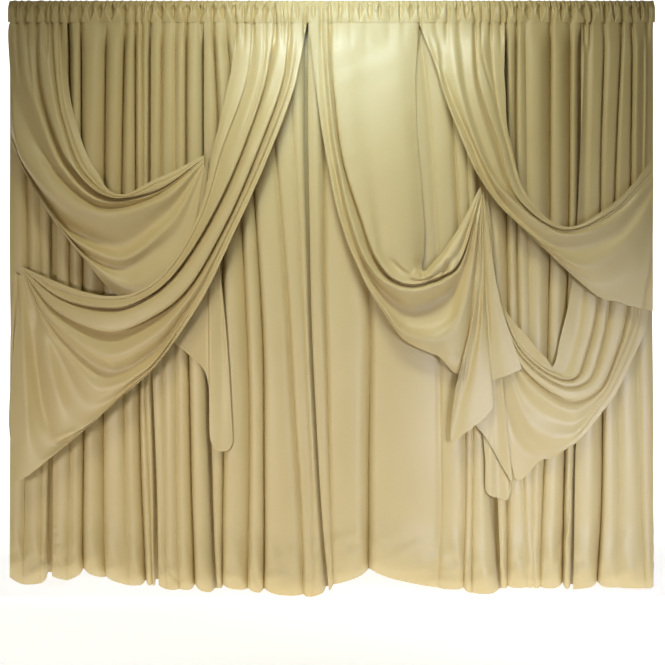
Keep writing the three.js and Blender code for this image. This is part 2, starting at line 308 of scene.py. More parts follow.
class Wire:
    """A shader value that takes part in Python expressions, each adding its own Math node."""

    def __init__(self, shader: "Shader", socket: bpy.types.NodeSocket) -> None:
        """Keeps the shader and the socket that the value comes from."""
        self.shader, self.socket = shader, socket

    def _math(self, operation: str, first: "Wire | float", second: "Wire | float") -> "Wire":
        """Adds one Math node.

        Args:
            operation: The node's operation.
            first: Its first value.
            second: Its second value.

        Returns:
            The node's value.
        """
        node = self.shader.add("ShaderNodeMath", {"operation": operation}, {0: first, 1: second})
        return Wire(self.shader, node.outputs[0])

    def __add__(self, other: "Wire | float") -> "Wire":
        """Adds a value."""
        return self._math("ADD", self, other)

    __radd__ = __add__

    def __sub__(self, other: "Wire | float") -> "Wire":
        """Takes a value away."""
        return self._math("SUBTRACT", self, other)

    def __rsub__(self, other: float) -> "Wire":
        """Takes this away from a number."""
        return self._math("SUBTRACT", other, self)

    def __mul__(self, other: "Wire | float") -> "Wire":
        """Multiplies by a value."""
        return self._math("MULTIPLY", self, other)

    __rmul__ = __mul__

    def __truediv__(self, other: "Wire | float") -> "Wire":
        """Divides by a value."""
        return self._math("DIVIDE", self, other)

    def __abs__(self) -> "Wire":
        """Drops the sign."""
        return self._math("ABSOLUTE", self, 0.0)

    def sine(self) -> "Wire":
        """Gives the sine."""
        return self._math("SINE", self, 0.0)

    def clamped(self) -> "Wire":
        """Keeps the value between 0 and 1."""
        return self._math("MAXIMUM", self._math("MINIMUM", self, 1.0), 0.0)


class Shader:
    """The nodes of one material.

    Attributes:
        MIX_FIRST: Number of a Mix node's first colour.
        MIX_SECOND: Number of its second colour.
        MIX_RESULT: Number of its mixed colour.
    """

    MIX_FIRST, MIX_SECOND, MIX_RESULT = 6, 7, 2

    def __init__(self, name: str) -> None:
        """Starts an empty material.

        Args:
            name: The material's name.
        """
        self.material = bpy.data.materials.new(name)
        self.material.use_nodes = True
        self.tree = self.material.node_tree
        self.tree.nodes.clear()

    def add(
        self,
        kind: str,
        settings: Mapping[str, Any] | None = None,
        sockets: Mapping[str | int, Any] | None = None,
    ) -> bpy.types.Node:
        """Adds a node.

        Args:
            kind: The node's type.
            settings: Its settings, such as an operation.
            sockets: Values or links of its input sockets, by name or number.

        Returns:
            The node.
        """
        node = self.tree.nodes.new(kind)
        for key, value in (settings or {}).items():
            setattr(node, key, value)
        for key, value in (sockets or {}).items():
            if isinstance(value, Wire):
                value = value.socket
            if isinstance(value, bpy.types.NodeSocket):
                self.tree.links.new(value, node.inputs[key])
            else:
                node.inputs[key].default_value = value
        return node

    def split(self, vector: bpy.types.NodeSocket) -> list[Wire]:
        """Takes a vector apart into its three values."""
        parts = self.add("ShaderNodeSeparateXYZ", sockets={0: vector})
        return [Wire(self, socket) for socket in parts.outputs]

    def noise(self, vector: bpy.types.NodeSocket, scale: float, detail: float) -> Wire:
        """Adds a noise, around 0.5.

        Args:
            vector: Where the noise is read.
            scale: Grains to one unit.
            detail: How many finer grains lie on them.

        Returns:
            The noise.
        """
        sockets = {"Vector": vector, "Scale": scale, "Detail": detail}
        return Wire(self, self.add("ShaderNodeTexNoise", sockets=sockets).outputs[0])

    def mix(self, factor: Wire, first: Triple, second: Triple) -> bpy.types.NodeSocket:
        """Mixes two colours.

        Args:
            factor: Share of the second colour.
            first: The first colour, linear.
            second: The second colour, linear.

        Returns:
            The mixed colour.
        """
        sockets = {"Factor": factor, self.MIX_FIRST: (*first, 1), self.MIX_SECOND: (*second, 1)}
        return self.add("ShaderNodeMix", {"data_type": "RGBA"}, sockets).outputs[self.MIX_RESULT]

    def surface(self, sockets: Mapping[str, Any]) -> bpy.types.Material:
        """Closes the material with its surface.

        Args:
            sockets: Values or links of the surface's sockets.

        Returns:
            The material.
        """
        face = self.add("ShaderNodeBsdfPrincipled", sockets=sockets)
        self.add("ShaderNodeOutputMaterial", sockets={"Surface": face.outputs[0]})
        return self.material


@dataclass(frozen=True)
class SatinCloth:
    """Cream satin with a fine weave, faint slubs and a stitched hem.

    Attributes:
        pale: Colour of the face, linear.
        deep: Colour of the slightly deeper patches, linear.
        gloss: Roughness of the face.
        gloss_spread: How far the slubs change it.
        shine: Specular level of the face.
        nap: Weight and roughness of the sheen.
        nap_tint: Colour of the sheen, linear.
        thread: Width of one thread, in metres.
        slubs: Slubs to the metre, across and along.
        patches: Deeper patches to the metre, across and along.
        tones: How strongly the patches, the slubs and the stitching show in the colour.
        hem: Distance of the hem's stitching from the edge, in metres.
        seam: Half the width of the line of stitching, in metres.
        stitch: Length of one stitch, in metres.
        stitch_shape: How sharply a stitch ends, and how much fuller it is than the gap after it.
        stitch_gap: Share of a stitch's depth that the seam keeps between two stitches.
        heights: Heights of the weave, the slubs and the stitching in the relief.
        relief: Strength of the relief, and its height in metres.
    """

    pale: Triple = (0.640, 0.515, 0.250)
    deep: Triple = (0.580, 0.450, 0.205)
    gloss: float = 0.46
    gloss_spread: float = 0.16
    shine: float = 0.65
    nap: Pair = (0.08, 0.45)
    nap_tint: Triple = (1.0, 0.93, 0.76)
    thread: float = 0.0016
    slubs: Pair = (26.0, 420.0)
    patches: Pair = (2.2, 1.3)
    tones: Triple = (1.6, 0.5, 0.9)
    hem: float = 0.024
    seam: float = 0.0022
    stitch: float = 0.008
    stitch_shape: Pair = (2.0, 0.6)
    stitch_gap: float = 0.4
    heights: Triple = (0.25, 0.8, 2.4)
    relief: Pair = (0.22, 0.0004)

    def material(self) -> bpy.types.Material:
        """Makes the material from the cloth's thread attribute: across, along and in from the edge.

        Returns:
            The material.
        """
        shader = Shader("cream_satin")
        thread = shader.add("ShaderNodeAttribute", {"attribute_name": "thread"})
        across, along, inset = shader.split(thread.outputs["Vector"])
        turn = FULL_TURN / self.thread
        weave = (across * turn).sine() * (along * turn).sine()
        slub, patch = (
            shader.noise(self._stretched(shader, across, along, pitch), 1.0, detail)
            for pitch, detail in ((self.slubs, 2.0), (self.patches, 3.0))
        )
        seam = 1 - (abs(inset - self.hem) / self.seam).clamped()
        sharp, full = self.stitch_shape
        dashes = ((along * (FULL_TURN / self.stitch)).sine() * sharp + full).clamped()
        stitching = seam * (dashes * (1 - self.stitch_gap) + self.stitch_gap)
        patch_tone, slub_tone, stitch_tone = self.tones
        tone = (patch - 0.5) * patch_tone + (slub - 0.5) * slub_tone + stitching * stitch_tone + 0.5
        weave_high, slub_high, stitch_high = self.heights
        height = weave * weave_high + slub * slub_high - stitching * stitch_high
        strength, distance = self.relief
        bump = shader.add(
            "ShaderNodeBump", sockets={"Height": height, "Strength": strength, "Distance": distance}
        )
        return shader.surface({
            "Base Color": shader.mix(tone.clamped(), self.pale, self.deep),
            "Roughness": slub * self.gloss_spread + (self.gloss - self.gloss_spread / 2),
            "Normal": bump.outputs[0],
            "Specular IOR Level": self.shine,
            "Sheen Weight": self.nap[0],
            "Sheen Roughness": self.nap[1],
            "Sheen Tint": (*self.nap_tint, 1.0),
        })

    @staticmethod
    def _stretched(shader: Shader, across: Wire, along: Wire, pitch: Pair) -> bpy.types.NodeSocket:
        """Gives the place on the cloth, with so many units to the metre across and along."""
        node = shader.add("ShaderNodeCombineXYZ", sockets={0: across * pitch[0], 1: along * pitch[1]})
        return node.outputs[0]


@dataclass(frozen=True)
class StudioPaintAndGlow:
    """Matt paint for the floor and the backdrop, with a painted glow: they shine by themselves from just
    before the drape backwards, which lights the drape from below and keeps the backdrop white.

    Attributes:
        name: The material's name.
        colour: Its colour, linear.
        glow: How brightly it shines by itself behind the drape.
        glow_starts: Where the glow starts before the drape and the run in which it comes up, in metres.
        glow_fills: Where it starts to grow further behind the drape and the run that this takes, in metres.
        glow_here: Share of the glow at the drape.
        mottle: Grains of the paint to the metre, and how fine they get.
        roughness: Least roughness, and how far the grain adds to it.
        shine: Its specular level.
    """

    name: str = "studio_white_glow"
    colour: Triple = (0.9, 0.9, 0.9)
    glow: float = 1.15
    glow_starts: Pair = (-2.0, 0.7)
    glow_fills: Pair = (1.0, 3.0)
    glow_here: float = 0.64
    mottle: Pair = (3.0, 2.0)
    roughness: Pair = (0.85, 0.1)
    shine: float = 0.1

    def material(self) -> bpy.types.Material:
        """Makes the material, which glows by itself as painted light from just before the drape backwards.

        Returns:
            The material.
        """
        shader = Shader(self.name)
        place = shader.add("ShaderNodeTexCoord").outputs["Object"]
        back = shader.split(place)[1]
        here, full = (
            ((back - start) / run).clamped() for start, run in (self.glow_starts, self.glow_fills)
        )
        near = here * (full * (1 - self.glow_here) + self.glow_here)
        return shader.surface({
            "Base Color": (*self.colour, 1),
            "Roughness": shader.noise(place, *self.mottle) * self.roughness[1] + self.roughness[0],
            "Specular IOR Level": self.shine,
            # Painted glow: the floor and the backdrop shine by themselves, faded in from just before the
            # drape, and light it from below.
            "Emission Color": shader.mix(near, (0, 0, 0), self.colour),
            "Emission Strength": self.glow,
        })


class Held(Enum):
    """How a sheet of cloth is held."""

    GATHERED = "gathered"
    DRAPED = "draped"


class Sheet:
    """A sheet of cloth in the making: one or more sewn grids of places, and then thickness.

    Attributes:
        NO_HEM: Metres to the edge that a side without a hem counts as.
    """

    NO_HEM = 1.0

    def __init__(self, name: str) -> None:
        """Starts an empty sheet.

        Args:
            name: The piece's name.
        """
        self.name = name
        self.mesh = bmesh.new()
        self.thread = self.mesh.verts.layers.float_vector.new("thread")

    def lay(self, places: np.ndarray, hems: Hems) -> None:
        """Lays a grid of cloth through places, its face to the front.

        Args:
            places: Places in metres, across on the first axis and along on the second.
            hems: Which sides have a sewn hem: first and last across, first and last along.
        """
        lines, stations = places.shape[:2]
        across, along = np.zeros((lines, stations)), np.zeros((lines, stations))
        across[1:] = np.cumsum(np.linalg.norm(np.diff(places, axis=0), axis=-1), axis=0)
        along[:, 1:] = np.cumsum(np.linalg.norm(np.diff(places, axis=1), axis=-1), axis=1)
        edges = [across, across[-1:] - across, along, along[:, -1:] - along]
        insets = [edge if hem else np.full(edge.shape, self.NO_HEM) for edge, hem in zip(edges, hems)]
        threads = np.stack([across, along, np.min(insets, axis=0)], axis=-1)
        grid = bmesh.ops.create_grid(
            self.mesh, x_segments=lines - 1, y_segments=stations - 1, size=1.0
        )["verts"]
        for vertex in grid:
            line = round((vertex.co.x + 1) / 2 * (lines - 1))
            station = round((vertex.co.y + 1) / 2 * (stations - 1))
            vertex.co = places[line, station]
            vertex[self.thread] = threads[line, station]
        faces = list({face for vertex in grid for face in vertex.link_faces})
        for face in faces:
            face.normal_update()
        if sum(face.normal.y * face.calc_area() for face in faces) > 0:
            bmesh.ops.reverse_faces(self.mesh, faces=faces)

    def finish(self, cloth: bpy.types.Material, thickness: float) -> bpy.types.Object:
        """Sews the grids together and gives the cloth its thickness and finish.

        Args:
            cloth: The cloth's material.
            thickness: The cloth's thickness, in metres.

        Returns:
            The piece.
        """
        bmesh.ops.remove_doubles(self.mesh, verts=self.mesh.verts, dist=SEWN)
        for edge in self.mesh.edges:
            edge.smooth = not edge.is_boundary
        piece = settled_object(self.name, self.mesh, cloth)
        solid = piece.modifiers.new("thickness", "SOLIDIFY")
        solid.thickness = thickness
        solid.offset = -1.0
        return piece


def settled_object(name: str, mesh: bmesh.types.BMesh, finish: bpy.types.Material) -> bpy.types.Object:
    """Turns a finished mesh into a smooth object of the scene.

    Args:
        name: The object's name.
        mesh: The mesh, which is used up.
        finish: Its material.

    Returns:
        The object.
    """
    data = bpy.data.meshes.new(name)
    mesh.to_mesh(data)
    mesh.free()
    data.polygons.foreach_set("use_smooth", np.ones(len(data.polygons), dtype=bool))
    data.materials.append(finish)
    made = bpy.data.objects.new(name, data)
    bpy.context.scene.collection.objects.link(made)
    return made


@dataclass(frozen=True)
class ClothPiece:
    """A piece of the drape: a sheet of cloth, sewn from one or more grids.

    Attributes:
        HELD: How the cloth is held.
        RESTS_ON: What it hangs from.
        THICKNESS: The cloth's thickness, in metres.
        node: The solid that it stands for.
        flat: Width and length that it was cut to, in metres.
    """

    HELD: ClassVar[Held] = Held.GATHERED
    RESTS_ON: ClassVar[tuple[str, ...]] = ("heading",)
    THICKNESS: ClassVar[float] = 0.0012
    node: str
    flat: Pair

    def grids(self) -> list[tuple[np.ndarray, Hems]]:
        """Gives the places in metres of each grid of cloth, and which of its sides have a hem."""
        raise NotImplementedError

    def build(self, cloth: bpy.types.Material) -> bpy.types.Object:
        """Sews the sheet, ties it to the frame and states its flat size.

        Args:
            cloth: The cloth's material.

        Returns:
            The piece.
        """
        sheet = Sheet(self.node + "_cloth")
        for places, hems in self.grids():
            sheet.lay(places, hems)
        piece = sheet.finish(cloth, self.THICKNESS)
        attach(piece, "root")
        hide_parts(self.node)
        faces = len(piece.data.polygons)
        LOG.info("%s: %d faces, cut %.2f by %.2f m, %s", piece.name, faces, *self.flat, self.HELD.value)
        return piece


@dataclass(frozen=True)
class Shirring:
    """The gathered line under the rod pocket, to which the heading, the panels and the swags' heads all run.

    Attributes:
        stand: Millimetres that the gathered cloth stands forward of the rod.
        ends: Columns of its two ends.
        gaps: Column, depth in millimetres and half width in steps of each gap along it.
        reach: Rows below the stitching over which the cloth leaves the gathered line.
        parting: Millimetres of depth from which a gap parts two tents of cloth.
        tent: Columns across one tent, where the gaps leave room for several.
        room: Least and greatest share of the dip beside a narrow and a broad tent.
        dip: Millimetres that the cloth sinks between two tents.
        tips: Mean reach of the tents' sides, how much it varies, and its turn from one tent to the next.
        soft: How softly a tent's side sinks in.
    """

    stand: float = 35.0
    ends: Pair = (8.0, 656.0)
    gaps: tuple[Triple, ...] = (
        (16.5, 12, 1.6), (26, 20, 1.6), (37, 20, 1.6), (47, 16, 1.3), (51.5, 18, 1.3), (60, 20, 1.6),
        (69.5, 20, 1.6), (81, 24, 1.4), (101, 9, 6.0), (125.5, 22, 1.8), (135.5, 20, 1.4), (142, 10, 1.2),
        (150, 20, 1.5), (162, 9, 2.5), (175.5, 7, 3.0), (186.5, 20, 1.5), (200, 14, 1.8), (213, 18, 1.5),
        (226, 8, 3.0), (235.5, 18, 1.5), (244, 10, 1.6), (253, 20, 1.5), (265, 9, 1.6), (275.5, 20, 1.6),
        (283, 9, 1.5), (290, 14, 1.6), (305, 22, 2.0), (321.5, 16, 1.8), (330, 20, 1.6), (339, 8, 1.6),
        (351, 8, 1.8), (367, 7, 4.0), (390, 8, 5.0), (404, 4, 3.0), (420, 16, 1.6), (436, 7, 3.0),
        (447, 12, 2.0), (459, 8, 3.0), (475, 20, 1.6), (481.5, 9, 1.5), (490.5, 18, 1.5), (501, 20, 1.5),
        (506.5, 14, 1.3), (517, 20, 1.6), (526, 7, 4.0), (550.5, 20, 1.8), (570.5, 12, 3.0), (585, 20, 1.6),
        (590.5, 14, 1.3), (604.5, 14, 2.0), (621.5, 22, 1.6), (632, 18, 1.6), (647.5, 10, 2.2),
    )
    reach: float = 34.0
    parting: float = 9.0
    tent: float = 10.0
    room: Pair = (0.4, 1.2)
    dip: float = 28.0
    tips: Triple = (0.8, 0.3, 5.1)
    soft: float = 0.05

    def tents(self, columns: np.ndarray, level: float) -> np.ndarray:
        """Gives how far the cloth sinks beside the tents, broad at the stitching, that run up to the gathers.

        Args:
            columns: Columns along the heading.
            level: How far up the tents, 0 at the stitching and 1 at their tips.

        Returns:
            Millimetres behind the cloth's front.
        """
        edges = [self.ends[0]]
        for column in [row[0] for row in self.gaps if row[1] >= self.parting] + [self.ends[1]]:
            parts = max(1, round((column - edges[-1]) / self.tent))
            edges += list(np.linspace(edges[-1], column, parts + 1)[1:])
        stops = np.array(edges)
        index = np.clip(np.searchsorted(stops, columns) - 1, 0, len(stops) - 2)
        width = stops[index + 1] - stops[index]
        share = (columns - stops[index]) / width
        mean, spread, turn = self.tips
        reach = level * (mean + spread * np.sin(turn * index + np.sign(share - 0.5)))
        sunk = np.clip((np.abs(2 * share - 1) - 1 + reach) / (reach + self.soft), 0, 1)
        return self.dip * np.clip(width / self.tent, *self.room) * min(2 * level, 1) * sunk

    def cut(self, columns: np.ndarray) -> np.ndarray:
        """Gives how far the gaps cut into the gathered cloth.

        Args:
            columns: Columns along the heading.

        Returns:
            Millimetres behind the cloth's front.
        """
        cut = np.zeros_like(columns)
        for column, depth, width in self.gaps:
            cut = np.maximum(cut, depth * np.exp(-(((columns - column) / width) ** 2)))
        return cut

    def blend(self, columns: np.ndarray, rows: np.ndarray, forward: np.ndarray) -> np.ndarray:
        """Runs cloth that hangs from the heading up to the gathered line.

        Args:
            columns: Columns of the cloth's places.
            rows: Rows of the cloth's places.
            forward: Millimetres forward of its places.

        Returns:
            Millimetres forward, on the gathered line at the stitching.
        """
        gathered = self.stand - self.cut(columns)
        return gathered + (forward - gathered) * ease((rows - STITCH_ROW) / self.reach)


SHIRRING = Shirring()


@dataclass(frozen=True)
class Gap:
    """A gap between two tubes of a straight panel, or one of the panel's edges.

    Attributes:
        top: Its column at the heading.
        middle: Its column half way down.
        hem: Its column at the hem.
        floor: Row where it meets the floor.
        stand: Millimetres forward of the tube right of it, at the heading and the hem.
        cut: Millimetres that it cuts in behind the tubes, at the heading and the hem.
        sides: Steps over which the tube on its left rolls in, and the one on its right comes out.
    """

    top: float
    middle: float
    hem: float
    floor: float
    stand: Pair
    cut: Pair
    sides: Pair


@dataclass(frozen=True)
class TubeRoll:
    """How a tube of a straight panel is rounded, and how it rolls in towards the gaps beside it.

    Attributes:
        crown: Millimetres that a broad tube is rounded.
        broad: Columns across a broad tube.
        sunk: Share of the crown by which the tube's sides lie behind its own depth.
        slope: Half the slope at which a tube rolls into a deep gap.
        full_cut: Millimetres of cut from which the roll has that slope.
        slot: Half the width of a deep gap's slot, in steps.
        slot_cut: Millimetres of cut past which a slot opens.
        long: Share of the tube, and columns at most, that the roll into a deep gap on the right takes.
        long_cut: Millimetres of cut from which it takes them all.
        most: Shares of the tube that the rolls on its left and its right may take.
    """

    crown: float = 14.0
    broad: float = 30.0
    sunk: float = 0.6
    slope: float = 0.62
    full_cut: float = 20.0
    slot: float = 2.2
    slot_cut: float = 12.0
    long: Pair = (0.62, 13.0)
    long_cut: float = 30.0
    most: Pair = (0.38, 0.75)

    def rounding(self, place: float, width: np.ndarray) -> np.ndarray:
        """Gives how far a tube's crown stands forward at a share of its width."""
        return self.crown * np.minimum(width / self.broad, 1) * (4 * place * (1 - place) - self.sunk)

    def reaches(self, before: Gap, after: Gap, cut: np.ndarray, width: np.ndarray) -> list[np.ndarray]:
        """Gives the steps over which a tube comes out of one gap and rolls into the next.

        Args:
            before: The gap on its left.
            after: The gap on its right.
            cut: Millimetres that the gap on its right cuts in.
            width: Columns across the tube.

        Returns:
            The steps on its left and on its right.
        """
        long = np.minimum(self.long[0] * width, self.long[1]) * np.clip(cut / self.long_cut, 0, 1)
        steps = before.sides[1], np.maximum(after.sides[0], long)
        return [np.minimum(reach, most * width) for reach, most in zip(steps, self.most)]

    def sink(self, cut: np.ndarray, step: np.ndarray, reach: np.ndarray, away: np.ndarray) -> np.ndarray:
        """Gives how far one side of a tube sinks towards its gap: a slow roll, then a narrow slot.

        Args:
            cut: Millimetres that the gap cuts in.
            step: Millimetres that the tube stands before the one across the gap.
            reach: Steps over which the tube rolls in.
            away: Steps from the gap.

        Returns:
            Millimetres below the tube's crown.
        """
        roll = self.slope * reach * ELEVATION.step * np.clip(cut / self.full_cut, 0, 1) + step
        slot = np.maximum(cut - self.slot_cut, 0)
        return roll * np.clip(1 - away / reach, 0, 1) ** 2 + slot * np.clip(1 - away / self.slot, 0, 1) ** 2


@dataclass(frozen=True)
class LooseHem:
    """How a straight panel swells above the floor, and how its hem turns back and lifts in the gaps.

    Attributes:
        starts: Share of the drop where the hem's finer levels start.
        swells: Share of the drop where the cloth starts to swell, and the share that this takes.
        belly: Millimetres that it swells.
        slack: Millimetres below the crown at which a gap swells half as far.
        turns: Share of the drop where the hem starts to turn back, and the share that this takes.
        tuck: Millimetres that it turns back under.
        lift: Rows that it rises in a gap.
        lift_cut: Millimetres of cut at which it rises by that much.
        lifts: Least and greatest share of that rise.
        crumple: Millimetres that the cloth over the hem is uneven, and the length of one swell, in steps.
        crumples: Share of the drop over which that comes in.
        seed: What tells that unevenness from the panel's own.
    """

    starts: float = 0.86
    swells: Pair = (0.88, 0.085)
    belly: float = 30.0
    slack: float = 30.0
    turns: Pair = (0.96, 0.04)
    tuck: float = 40.0
    lift: float = 4.5
    lift_cut: float = 24.0
    lifts: Pair = (0.15, 1.3)
    crumple: Pair = (7.0, 21.0)
    crumples: float = 0.1
    seed: float = 3.0

    def swell(self, share: np.ndarray, sunk: np.ndarray) -> np.ndarray:
        """Gives how far the cloth swells forward.

        Args:
            share: Shares of the drop.
            sunk: Millimetres that each place lies below its tube's crown.

        Returns:
            Millimetres forward at each place.
        """
        rise = ease((share - self.swells[0]) / self.swells[1])
        fall = np.clip((share - self.turns[0]) / self.turns[1], 0, 1) ** 3
        swell = self.belly * rise - (self.belly + self.tuck) * fall
        return swell * (1 - 0.5 * np.clip(sunk / self.slack, 0, 1))

    def rise(self, cut: float, place: float) -> float:
        """Gives the rows that the hem rises at a share of a tube's width, beside a gap of some cut."""
        return self.lift * float(np.clip(cut / self.lift_cut, *self.lifts)) * abs(2 * place - 1) ** 3

    def crumpled(self, columns: np.ndarray, rows: np.ndarray, share: np.ndarray, seed: float) -> np.ndarray:
        """Gives the unevenness of the cloth over the hem.

        Args:
            columns: Columns of the panel's places.
            rows: Rows of the panel's places.
            share: Shares of the drop.
            seed: A number that tells this panel from the others.

        Returns:
            Millimetres forward at each place.
        """
        height, size = self.crumple
        height = height * ease((share - self.starts) / self.crumples)
        return height * uneven(columns, rows, size, seed + self.seed)


@dataclass(frozen=True)
class Lap:
    """How a straight panel's right edge runs on behind the next panel.

    Attributes:
        columns: Columns that it runs on.
        behind: Millimetres behind the rod where it lies.
        rise: Share of the drop that its hem ends above the panel's own.
        cells: Cells across it.
        level: Cells before its hem starts to rise.
        turn: Cells over which it goes back, and over which its hem rises.
    """

    columns: float = 25.0
    behind: float = 42.0
    rise: float = 0.03
    cells: int = 8
    level: int = 2
    turn: int = 3

    def run_on(self, edge: np.ndarray) -> np.ndarray:
        """Works out the lap from the panel's edge.

        Args:
            edge: Column, row and millimetres forward down the panel's right edge.

        Returns:
            The same for each line of the lap, on the first axis.
        """
        up = self.rise * (edge[:, 1] - STITCH_ROW)
        back = np.minimum(-self.behind, edge[:, 2]) - edge[:, 2]
        lines = []
        for cell in range(1, self.cells + 1):
            columns = edge[:, 0] + self.columns * cell / self.cells
            rows = edge[:, 1] - up * ease((cell - self.level) / self.turn)
            lines.append(np.column_stack([columns, rows, edge[:, 2] + back * ease(cell / self.turn)]))
        return np.array(lines)


@dataclass(frozen=True)
class BackPanel(ClothPiece):
    """A straight panel that hangs in tubes from the heading to the floor.

    Attributes:
        gaps: Its left edge, its gaps and its right edge, each with the tube right of it.
        creases: Creases and puckers on it.
        lap: How its right edge runs on behind the next panel.
        roll: How its tubes are rounded.
        hem: How its hem hangs.
        cells: Cells across each tube.
        levels: Levels down to the hem, and from there to the floor.
        crowding: How the levels crowd towards the heading.
        settle: How the tubes take on their shape at the hem on the way down.
        sways: Two sways of a gap: its columns at the hem, its turns down the drop and its turn for the seed.
        wander: Millimetres that a tube wanders forward and back, its turns down the drop and for the seed.
        unevenness: Millimetres that the cloth is uneven, and the length of one swell, in steps.
        behind: Millimetres behind the rod that the gaps may reach.
        hides: Share of the drop over which a tube behind a swag's head runs up behind the heading.
    """

    gaps: tuple[Gap, ...]
    creases: tuple[Crease | Puckers, ...] = ()
    lap: Lap = Lap()
    roll: TubeRoll = TubeRoll()
    hem: LooseHem = LooseHem()
    cells: int = 14
    levels: tuple[int, int] = (100, 34)
    crowding: float = 1.15
    settle: float = 0.7
    sways: tuple[Triple, Triple] = ((0.8, 9.0, 2.3), (0.48, 17.0, 1.1))
    wander: Triple = (2.5, 7.0, 1.9)
    unevenness: Pair = (1.6, 42.0)
    behind: float = 36.0
    hides: float = 0.02

    def _column(self, index: int, share: np.ndarray, seed: float) -> np.ndarray:
        """Gives a gap's column at shares of the drop.

        Args:
            index: Which gap, from the left.
            share: Shares of the drop.
            seed: A number that tells this panel from the others.

        Returns:
            The columns.
        """
        gap = self.gaps[index]
        line = gap.top * (1 - share) * (1 - 2 * share) + 4 * gap.middle * share * (1 - share)
        line = line + gap.hem * share * (2 * share - 1)
        for size, turns, turn in self.sways:
            line = line + size * np.sin(turns * share + turn * (seed + index)) * share
        return line

    def _tube(self, index: int, share: np.ndarray, seed: float) -> tuple[np.ndarray, np.ndarray]:
        """Works out one tube, from the gap on its left up to the one on its right.

        Args:
            index: Which tube, from the left.
            share: Shares of the drop.
            seed: A number that tells this panel from the others.

        Returns:
            Column, row and millimetres forward across and down the tube, and the depth below its crown.
        """
        settled = share**self.settle
        sides = self.gaps[index], self.gaps[index + 1]
        left = self._column(index, share, seed)
        width = self._column(index + 1, share, seed) - left
        tubes = max(index - 1, 0), index, min(index + 1, len(self.gaps) - 2)
        before, stand, after = (between(self.gaps[at].stand, settled) for at in tubes)
        size, turns, turn = self.wander
        stand = stand + size * np.sin(turns * share + turn * (seed + index)) * settled
        cuts = [between(side.cut, settled) for side in sides]
        steps = [stand - np.minimum(stand, beside) for beside in (before, after)]
        reaches = self.roll.reaches(*sides, cuts[1], width)
        tube, sunk = [], []
        for cell in range(self.cells + 1):
            place = 0.5 - 0.5 * math.cos(math.pi * cell / self.cells)
            aways = place * width, (1 - place) * width
            sunk.append(sum(self.roll.sink(*side) for side in zip(cuts, steps, reaches, aways)))
            floor = sides[0].floor + (sides[1].floor - sides[0].floor) * place
            floor -= self.hem.rise(cuts[round(place)][-1], place)
            rows = STITCH_ROW + (floor - STITCH_ROW) * share
            forward = np.maximum(stand + self.roll.rounding(place, width) - sunk[-1], -self.behind)
            tube.append(np.column_stack([left + width * place, rows, forward]))
        return np.array(tube), np.array(sunk)

    def drawn(self) -> np.ndarray:
        """Works out the panel's places on the drawing.

        Returns:
            Column, row and millimetres forward, across on the first axis and down on the second.
        """
        upper = np.linspace(0, self.hem.starts, self.levels[0], endpoint=False) ** self.crowding
        share = np.concatenate([upper, np.linspace(self.hem.starts, 1, self.levels[1] + 1)])
        seed = float(len(self.node) + ord(self.node[-1]))
        tubes = []
        for index in range(len(self.gaps) - 1):
            tube, sunk = self._tube(index, share, seed)
            tube[..., 2] += self.hem.swell(share, sunk)
            if self.gaps[index].stand[0] == BEHIND_SWAG:
                tube[..., 1] -= HIDDEN_RISE * np.clip(1 - share / self.hides, 0, 1)
            else:
                tube[..., 2] = SHIRRING.blend(tube[..., 0], tube[..., 1], tube[..., 2])
            tubes.append(tube[:-1])
        edge = tube[-1]
        panel = np.concatenate([*tubes, edge[None], self.lap.run_on(edge)])
        columns, rows = panel[..., 0], panel[..., 1]
        for crease in self.creases:
            panel[..., 2] += crease.relief(columns, rows)
        height, size = self.unevenness
        panel[..., 2] += height * uneven(columns, rows, size, seed) * share**self.settle
        panel[..., 2] += self.hem.crumpled(columns, rows, share, seed)
        return panel

    def grids(self) -> list[tuple[np.ndarray, Hems]]:
        """Gives the panel as one grid in metres, what stands forward kept below the stitching, and its hems.

        Returns:
            The grid with its hems.
        """
        places = ELEVATION.place(self.drawn())
        front = -places[..., 1] > 2 * BEHIND_SWAG * MM
        places[..., 2] = np.where(front, np.minimum(places[..., 2], STITCH_LEVEL), places[..., 2])
        return [(places, (True, True, False, True))]


@dataclass(frozen=True)
class FoldLine:
    """One line along a swag: an edge, a ridge or a trough.

    Attributes:
        relief: Millimetres forward of the swag's own depth, at its head, its belly and its pin.
        places: Column and row at each station.
        lip: For a crisp trough, steps from it to the lip of the fold above, which hangs over it.
    """

    relief: Triple
    places: tuple[Pair, ...]
    lip: float = 0.0


def fold(head: float, belly: float, pin: float, *places: Pair, lip: float = 0.0) -> FoldLine:
    """Reads one row of a swag's table.

    Args:
        head: Millimetres forward of the swag's own depth, at its head.
        belly: Millimetres forward at its belly, or half way down a tail.
        pin: Millimetres forward at its pin, or at a tail's hem.
        *places: Column and row at each station.
        lip: For a crisp trough, steps from it to the lip of the fold above.

    Returns:
        The row as a line.
    """
    return FoldLine((head, belly, pin), places, lip)


@dataclass(frozen=True)
class Tail:
    """The loose end of a swag, hanging from its last edge beyond the pin.

    Attributes:
        depths: Millimetres forward at the pin, half way and at the hem.
        lines: Its lines, away from the swag's last edge.
    """

    depths: Triple
    lines: tuple[FoldLine, ...]


